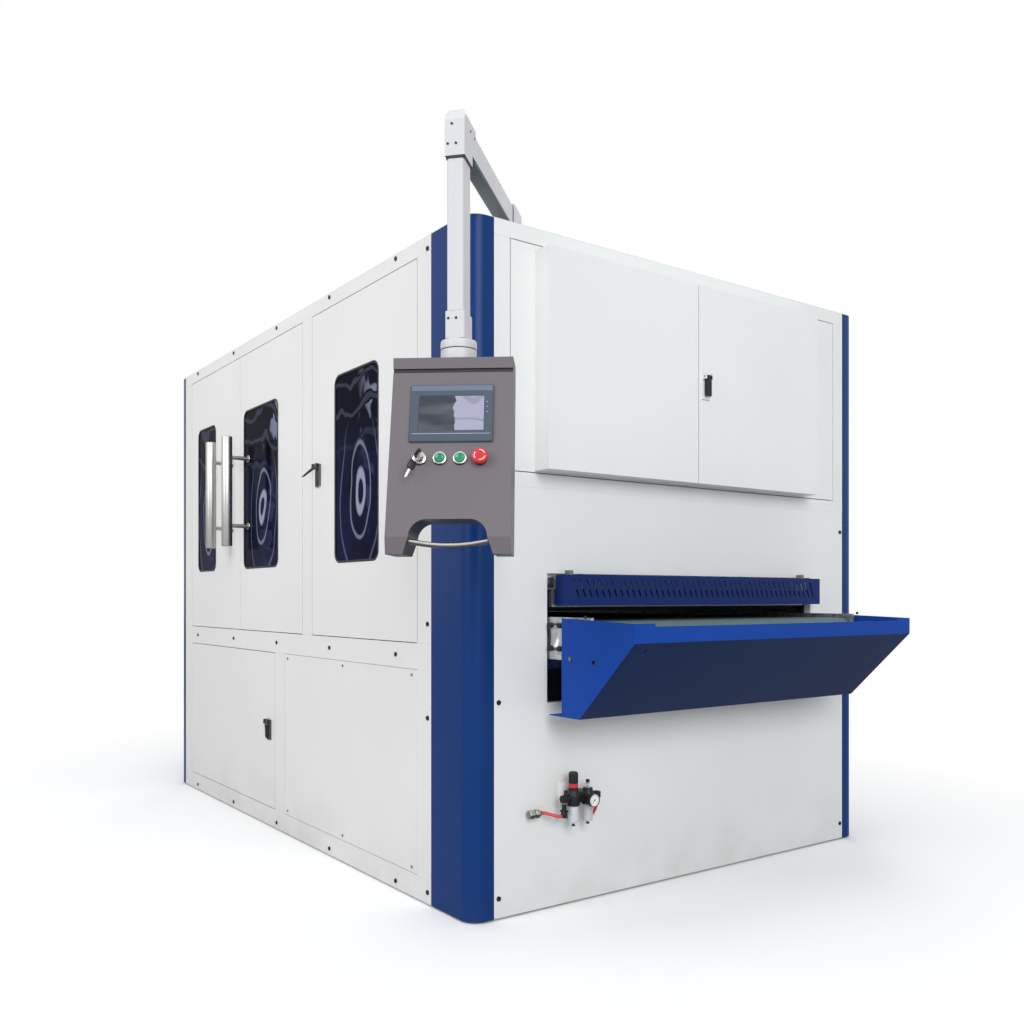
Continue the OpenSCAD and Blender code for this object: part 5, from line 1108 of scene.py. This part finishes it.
    def gauge(self):
        """The gauge's case, its dial with marks, its needle and the needle's hub."""
        centre = (-0.5295, AIR_Y, 0.338)
        for name, finish, sides, profile in (
            ("gauge_case", "black", 64, (
                (0.0080, 0.0), (0.0080, 0.0300), (0.0185, 0.0312), (0.0205, 0.0332), (0.0209, 0.0352), (0.0209, 0.0452),
                (0.0202, 0.0468), (0.0188, 0.0469), (0.0184, 0.0448), (0.0006, 0.0448)
            )),
            ("gauge_dial", "white", 48, ((0.0183, 0.0447), (0.0183, 0.0452), (0.0005, 0.0452))),
        ):
            Shape().lathe(profile, centre, OUT, sides).fit(name, self.unit, finish)
        ways = [Vector((cos(t), 0, sin(t))) for t in (radians(225 - 10 * k) for k in range(28))]
        marks = [(Vector(centre) + 0.0152 * way - Vector((0, 0.04525, 0)), way) for way in ways]
        repeated("gauge_marks", plate_tree, marks, self.unit, "black", width=0.0005, length=0.0003, height=0.0028)
        needle = [(-0.0140, 0.0), (0.0, -0.0010), (0.0045, -0.0008), (0.0045, 0.0008), (0.0, 0.0010)]
        Shape(Matrix.Translation(centre) @ Matrix.Rotation(radians(-45), 4, "Y")).loft(
            [at_y(needle, y) for y in (-0.0455, -0.0460)]
        ).fit("gauge_needle", self.unit, "black")
        Shape().lathe([(0.0020, 0.0450), (0.0020, 0.0463), (0.0012, 0.0468)], centre, OUT, 16).fit(
            "gauge_hub", self.unit, "black"
        )

    def coupling(self):
        """The inlet's nuts on their pipe, its holder and the sleeve on the hose."""
        nuts = Shape()
        for start, long in ((-0.7290, 0.0170), (-0.7060, 0.0150)):
            nuts.lathe(
                [(0.0118, 0.0), (0.0138, 0.0016), (0.0138, long - 0.0016), (0.0118, long)], (start, INLET_Y, INLET_Z),
                ALONG, 6
            )
        nuts.lathe(
            [(0.0085, 0.0), (0.0096, 0.001), (0.0096, 0.036), (0.0085, 0.037)], (-0.7260, INLET_Y, INLET_Z), ALONG, 28
        )
        nuts.box((-0.7205, -1.3960, 0.2995), (-0.6935, -1.3802, 0.3125), 0.0015)
        nuts.fit("inlet_coupling", self.unit, "bright")
        Shape().lathe([
            (0.0065, 0.0), (0.0076, 0.0006), (0.0076, 0.0052), (0.0060, 0.0058)
        ], (-0.6900, INLET_Y, INLET_Z), ALONG, 28).fit("hose_sleeve", self.unit, "black")


class DEBURR_OT_hoses(bpy.types.Operator):
    """Lay the two short air hoses from the unit to the inlet coupling and into the front sheet"""
    bl_idname = "deburr.hoses"
    bl_label = "Air hoses"

    def execute(self, context):
        routes = {
            "inlet_hose": (
                (-0.624, AIR_Y, 0.293), (-0.648, AIR_Y, 0.293), (-0.660, INLET_Y, INLET_Z), (-0.684, INLET_Y, INLET_Z)
            ),
            "outlet_hose": (
                (OUTLET_X, AIR_Y, 0.321), (OUTLET_X, AIR_Y, 0.2985), (OUTLET_X, -1.4025, 0.2675),
                (OUTLET_X, -1.380, 0.2675)
            ),
        }
        for name, route in routes.items():
            a, b, c, d = (Vector(p) for p in route)
            steps = 20
            points = [
                (1 - t) ** 3 * a + 3 * t * (1 - t) ** 2 * b + 3 * t * t * (1 - t) * c + t ** 3 * d
                for t in (k / steps for k in range(steps + 1))
            ]
            length = sum((q - p).length for p, q in zip(points, points[1:]))
            curve = bpy.data.curves.new(name, "CURVE")
            curve.dimensions = "3D"
            spline = curve.splines.new("POLY")
            spline.points.add(len(points) - 1)
            for point, place in zip(spline.points, points):
                point.co = (*place, 1.0)
            curve.bevel_depth = 0.005
            curve.bevel_resolution = 5
            curve.use_fill_caps = True
            curve.materials.append(FINISHES["hose"])
            obj = put(bpy.data.objects.new(name, curve), "air_hoses", True)
        return {"FINISHED"}


class DEBURR_OT_locks(bpy.types.Operator):
    """Make the black plates, lock cylinders and levers of the side doors"""
    bl_idname = "deburr.locks"
    bl_label = "Door locks"

    def execute(self, context):
        for door, node, z, swing in (
            ("single_door", "single_door_latch", 1.386, 50), ("lower_door", "lower_door_lock", 0.365, 0)
        ):
            centre = -joint(node + "_lever")["pos_m"][1]
            plate = Shape(LEFT_PLACE).slab(
                rounded(0.0388, 0.0888, 0.004, (centre, z + 0.044)), -0.0002, -0.0064, 0.0012
            )
            for ear in (centre - 0.016, centre + 0.016):
                plate.box((ear - 0.0022, -0.0222, z + 0.0678), (ear + 0.0022, -0.0060, z + 0.0882), 0.0010)
            plate.fit(node + "_plate", door, "black")
            Shape(LEFT_PLACE).lathe([
                (0.0078, 0.0060), (0.0078, 0.0072), (0.0066, 0.0076), (0.0060, 0.0070), (0.0004, 0.0070)
            ], (centre, 0, z + 0.016), OUT, 28).box(
                (centre - 0.0007, -0.0073, z + 0.0115), (centre + 0.0007, -0.0070, z + 0.0205)
            ).fit(node + "_cylinder", door, "black_steel")
            pivot = Matrix.Translation((centre, -0.015, z + 0.076)) @ Matrix.Rotation(radians(-swing), 4, "X")
            lever = Shape(LEFT_PLACE @ pivot).loft([
                [(x, y, low) for x, y in rounded(w, t, min(w, t) * 0.4)] for low, w, t in (
                    (0.0, 0.0236, 0.0086), (-0.010, 0.0230, 0.0086), (-0.024, 0.0196, 0.0078), (-0.050, 0.0170, 0.0062),
                    (-0.062, 0.0156, 0.0050), (-0.0658, 0.0120, 0.0030)
                )
            ])
            for r, wide, half, sides in ((0.0058, 0.0063, 0.0118, 24), (0.0020, 0.0029, 0.0192, 20)):
                rim = half - 0.0006
                lever.lathe([(r, -half), (wide, -rim), (wide, rim), (r, half)], (0, 0, 0), ALONG, sides)
            lever.fit(node + "_handle", node, "black", True)
        dress("cabinet_lock", "black", 0.0006)
        return {"FINISHED"}


class DEBURR_OT_handles(bpy.types.Operator):
    """Turn the two tall pull handles with their standoffs and roses"""
    bl_idname = "deburr.handles"
    bl_label = "Pull handles"
    bar_radius = 0.023
    standoffs = (1.279, 1.577)

    def execute(self, context):
        for node in ("double_door_front_handle", "double_door_rear_handle"):
            low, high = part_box(node)
            x, y = low.x + self.bar_radius, (low.y + high.y) / 2
            Shape().lathe([
                (0.0180, low.z), (0.0217, low.z + 0.0014), (0.0229, low.z + 0.0040), (0.0229, high.z - 0.0040),
                (0.0217, high.z - 0.0014), (0.0180, high.z)
            ], (x, y, 0), UP, 56).lathes(
                [(0.0088, 0.0), (0.0088, LEFT_FACE - x - 0.0004)], [(x, y, z) for z in self.standoffs], ALONG, 32
            ).fit(node + "_bar", node, "handle", True)
            Shape().lathes(
                [(0.0100, -0.0052), (0.0150, -0.0045), (0.0165, -0.0020), (0.0165, -0.0003)],
                [(LEFT_FACE, y, z) for z in self.standoffs], ALONG, 36
            ).fit(node + "_roses", node, "bright")
        return {"FINISHED"}


class DEBURR_OT_windows(bpy.types.Operator):
    """Glaze the side doors and put a rubber seal round each pane"""
    bl_idname = "deburr.windows"
    bl_label = "Windows"

    def execute(self, context):
        width = context.scene.deburr_sizes.seal
        corner = 0.035
        for node, y0, y1, z0, z1 in (
            ("single_door_window", -0.807, -0.472, 1.096, 1.776),
            ("double_door_front_window", 0.073, 0.460, 1.096, 1.790),
            ("double_door_rear_window", 0.839, 1.090, 1.096, 1.790),
        ):
            dress(node, node)
            w, h, middle = y1 - y0, z1 - z0, (-(y0 + y1) / 2, (z0 + z1) / 2)
            Shape(LEFT_PLACE).loft([
                at_y(rounded(w + 2 * grow, h + 2 * grow, corner + grow, middle, 10), y) for grow, y in (
                    (-0.0030, 0.0018), (-0.0030, -0.0008), (-0.0010, -0.0020), (width / 2, -0.0014),
                    (width / 2, -0.0001), (-0.0004, -0.0001), (-0.0004, 0.0018)
                )
            ], closed=True).fit(node + "_seal", node, "seal")
        return {"FINISHED"}


class DEBURR_OT_fasteners(bpy.types.Operator):
    """Set the screws of the sheets, the bolts of the conveyor and the plugs, knobs and screws of the trays"""
    bl_idname = "deburr.fasteners"
    bl_label = "Screws and bolts"
    # the lower cover on the left side: its length along Y and the heights of its two rows of screws
    cover_y = (-1.08, 0.01)
    cover_rows = ((0.09, 0.11), (0.70, 0.73))
    side_plate_x = 0.6392

    def execute(self, context):
        radius = context.scene.deburr_sizes.screw_r
        dark, pale = [], []
        for low, high in islands("panel_screws"):
            size = high - low
            axis = min(range(3), key=lambda i: size[i])
            middle = (low + high) / 2
            out = Vector((0, 0, 0))
            out[axis] = 1 if middle[axis] > 0 else -1
            on_cover = (
                axis == 0 and middle.x < 0 and self.cover_y[0] < middle.y < self.cover_y[1]
                and any(bottom < middle.z < top for bottom, top in self.cover_rows)
            )
            middle[axis] = low[axis] if middle[axis] > 0 else high[axis]
            (pale if on_cover else dark).append((middle, out))
        node = "panel_screws"
        screws("sheet_screws", dark, node, "black_steel", radius, 0.0032, 0.5, 0.002, 20, replaces=True)
        screws("cover_screws", pale, node, "sheet_screw", radius * 0.7, 0.0026, 0.5, 0.0015, 20, replaces=True)
        bolts = [
            ((side * self.side_plate_x, y, z), (side, 0, 0))
            for side in (-1, 1) for z in (0.809, 0.880) for y in (-1.397, -1.443)
        ]
        screws("side_plate_bolts", bolts, "conveyor_frame", "black_steel", 0.0084, 0.0125, 0.5, 0.001, 24)
        for name, finish, x, y, z, up, sizes in (
            ("tray_plugs", "black_steel", 0.6588, 1.6160, 0.7770, False, (0.0070, 0.0010, 0.6, 0.0008, 20)),
            ("tray_knobs", "black_steel", 0.6575, 1.5790, 0.9029, True, (0.0045, 0.0090, 0.5, 0.002, 16)),
            ("tray_screws", "bright", 0.6592, 1.5110, 0.7820, False, (0.0065, 0.0030, 0.45, 0.002, 20)),
        ):
            points = [((side * x, end * y, z), UP if up else (side, 0, 0)) for side in (-1, 1) for end in (-1, 1)]
            screws(name, points, "feed_trays", finish, *sizes)
        return {"FINISHED"}


class DEBURR_OT_opening(bpy.types.Operator):
    """Face the feed opening's rail in aluminium, with its strip, its fixing block and the lower light edge"""
    bl_idname = "deburr.opening"
    bl_label = "Feed opening"

    def execute(self, context):
        node = "head_frame"
        Shape().box((-0.6404, -1.3656, 0.9915), (0.6404, -1.3645, 1.1704), 0.0003).box(
            (-0.6404, -1.3700, 1.0190), (0.6404, -1.3655, 1.0250), 0.0010
        ).fit("opening_rail_face", node, "rail")
        Shape().box((-0.6162, -1.3660, 0.9357), (0.6162, -1.3644, 0.9423), 0.0004).fit(
            "opening_edge_face", node, "rail"
        )
        Shape().box((-0.6400, -1.3720, 0.9950), (-0.6130, -1.3657, 1.0330), 0.0010).fit(
            "opening_rail_block", node, "bright"
        )
        points = [((x, -1.3718, z), OUT) for x in (-0.6330, -0.6200) for z in (1.004, 1.024)]
        screws("rail_block_screws", points, node, "black_steel", 0.0032, 0.0022, 0.5, 0.0012, 12)
        return {"FINISHED"}


class DEBURR_OT_stage(bpy.types.Operator):
    """Set the floor, the lamps and the camera"""
    bl_idname = "deburr.stage"
    bl_label = "Stage"

    def execute(self, context):
        scene = context.scene
        scene.view_settings.view_transform = "Standard"
        half = 40.0
        mesh = bpy.data.meshes.new("floor")
        mesh.from_pydata([(-half, -half, 0), (half, -half, 0), (half, half, 0), (-half, half, 0)], [], [(0, 1, 2, 3)])
        mesh.materials.append(self.floor_finish())
        floor = bpy.data.objects.new("floor", mesh)
        scene.collection.objects.link(floor)
        self.world(scene)
        for name, place, aim, size, power in (
            ("front_lamp", (-3.0, -9.0, 4.5), (0.0, 0.0, 1.0), 5.0, 450),
            ("side_lamp", (-9.0, -1.5, 4.5), (0.0, 0.0, 1.0), 5.0, 350),
            ("top_lamp", (0.0, 0.0, 8.0), (0.0, 0.0, 0.0), 6.0, 130),
            ("rear_lamp", (7.0, 8.0, 5.0), (0.0, 0.0, 1.0), 5.0, 240),
        ):
            data = bpy.data.lights.new(name, "AREA")
            data.shape = "SQUARE"
            data.size = size
            data.energy = power
            lamp = bpy.data.objects.new(name, data)
            scene.collection.objects.link(lamp)
            lamp.location = place
            lamp.rotation_euler = (Vector(aim) - Vector(place)).to_track_quat("-Z", "Y").to_euler()
        data = bpy.data.cameras.new("photo_camera")
        data.lens = 34.09
        data.sensor_width = 36.0
        data.shift_y = 0.083
        data.clip_start = 0.05
        data.clip_end = 200.0
        scene.camera = bpy.data.objects.new("photo_camera", data)
        scene.collection.objects.link(scene.camera)
        scene.camera.location = (-2.488, -3.755, 0.967)
        way_x, way_y = 0.584, 0.8117
        scene.camera.rotation_euler = (radians(90), 0, -atan2(way_x, way_y))
        return {"FINISHED"}

    def world(self, scene):
        """White to the camera and in reflections, and a softer sky for the light that falls on the machine."""
        scene.world = bpy.data.worlds.new("studio")
        scene.world.use_nodes = True
        tree = Tree(scene.world.node_tree)
        tree.tree.nodes.clear()
        ray = tree.add("ShaderNodeLightPath")
        seen = ray.out("Is Camera Ray").maths("MAXIMUM", ray.out("Is Glossy Ray")).maths(
            "MAXIMUM", ray.out("Is Transmission Ray")
        )
        soft = tree.add("ShaderNodeBackground", None, Color=(0.93, 0.96, 1.0), Strength=0.56)
        white = tree.add("ShaderNodeBackground", None, Color=(1.0, 1.0, 1.0), Strength=1.0)
        tree.add("ShaderNodeOutputWorld", None, Surface=tree.add("ShaderNodeMixShader", None, seen, soft, white))

    def floor_finish(self):
        """Pale floor that keeps the shadow near the machine and runs out into the white background."""
        f = Finish("pale_floor")
        parts = f.add("ShaderNodeSeparateXYZ", None, f.place)
        x, y = parts.out("X"), parts.out("Y")
        seen = f.add("ShaderNodeLightPath").out("Is Camera Ray")
        near = f.add(
            "ShaderNodeBsdfPrincipled", None, Base_Color=f.tint((0.50, 0.50, 0.50), (0.96, 0.96, 0.96), seen),
            Roughness=f.noise(3.0) * 0.1 + 0.8, Specular_IOR_Level=0.1
        )
        white = f.add("ShaderNodeEmission", None, Color=(1.0, 1.0, 1.0), Strength=1.0)
        far = (x * x * 0.9 + y * y * 0.55).maths("SQRT").ramp(1.35, 2.6)
        f.add("ShaderNodeOutputMaterial", None, Surface=f.add("ShaderNodeMixShader", None, far * seen, near, white))
        return f.material


OPERATORS = (
    DEBURR_OT_finishes,
    DEBURR_OT_hoses,
    DEBURR_OT_sheets,
    DEBURR_OT_plain_nodes,
    DEBURR_OT_console,
    DEBURR_OT_arm,
    DEBURR_OT_air_unit,
    DEBURR_OT_locks,
    DEBURR_OT_handles,
    DEBURR_OT_windows,
    DEBURR_OT_fasteners,
    DEBURR_OT_opening,
    DEBURR_OT_stage,
)


class DEBURR_PT_panel(bpy.types.Panel):
    """Lists the steps that dress the machine"""
    bl_idname = "DEBURR_PT_panel"
    bl_label = "Deburring machine"
    bl_space_type = "VIEW_3D"
    bl_region_type = "UI"
    bl_category = "Deburring"

    def draw(self, context):
        for settings in (context.scene.deburr_colours, context.scene.deburr_sizes):
            box = self.layout.box()
            for name in settings.__annotations__:
                box.prop(settings, name)
        for step in OPERATORS:
            self.layout.operator(step.bl_idname)


CLASSES = (DeburrColours, DeburrSizes, *OPERATORS, DEBURR_PT_panel)


def register():
    for cls in CLASSES:
        bpy.utils.register_class(cls)
    bpy.types.Scene.deburr_colours = bpy.props.PointerProperty(type=DeburrColours)
    bpy.types.Scene.deburr_sizes = bpy.props.PointerProperty(type=DeburrSizes)


def unregister():
    del bpy.types.Scene.deburr_sizes
    del bpy.types.Scene.deburr_colours
    for cls in reversed(CLASSES):
        bpy.utils.unregister_class(cls)


def main():
    register()
    for step in OPERATORS:
        group, name = step.bl_idname.split(".")
        getattr(getattr(bpy.ops, group), name)()


if __name__ == "__main__":
    main()
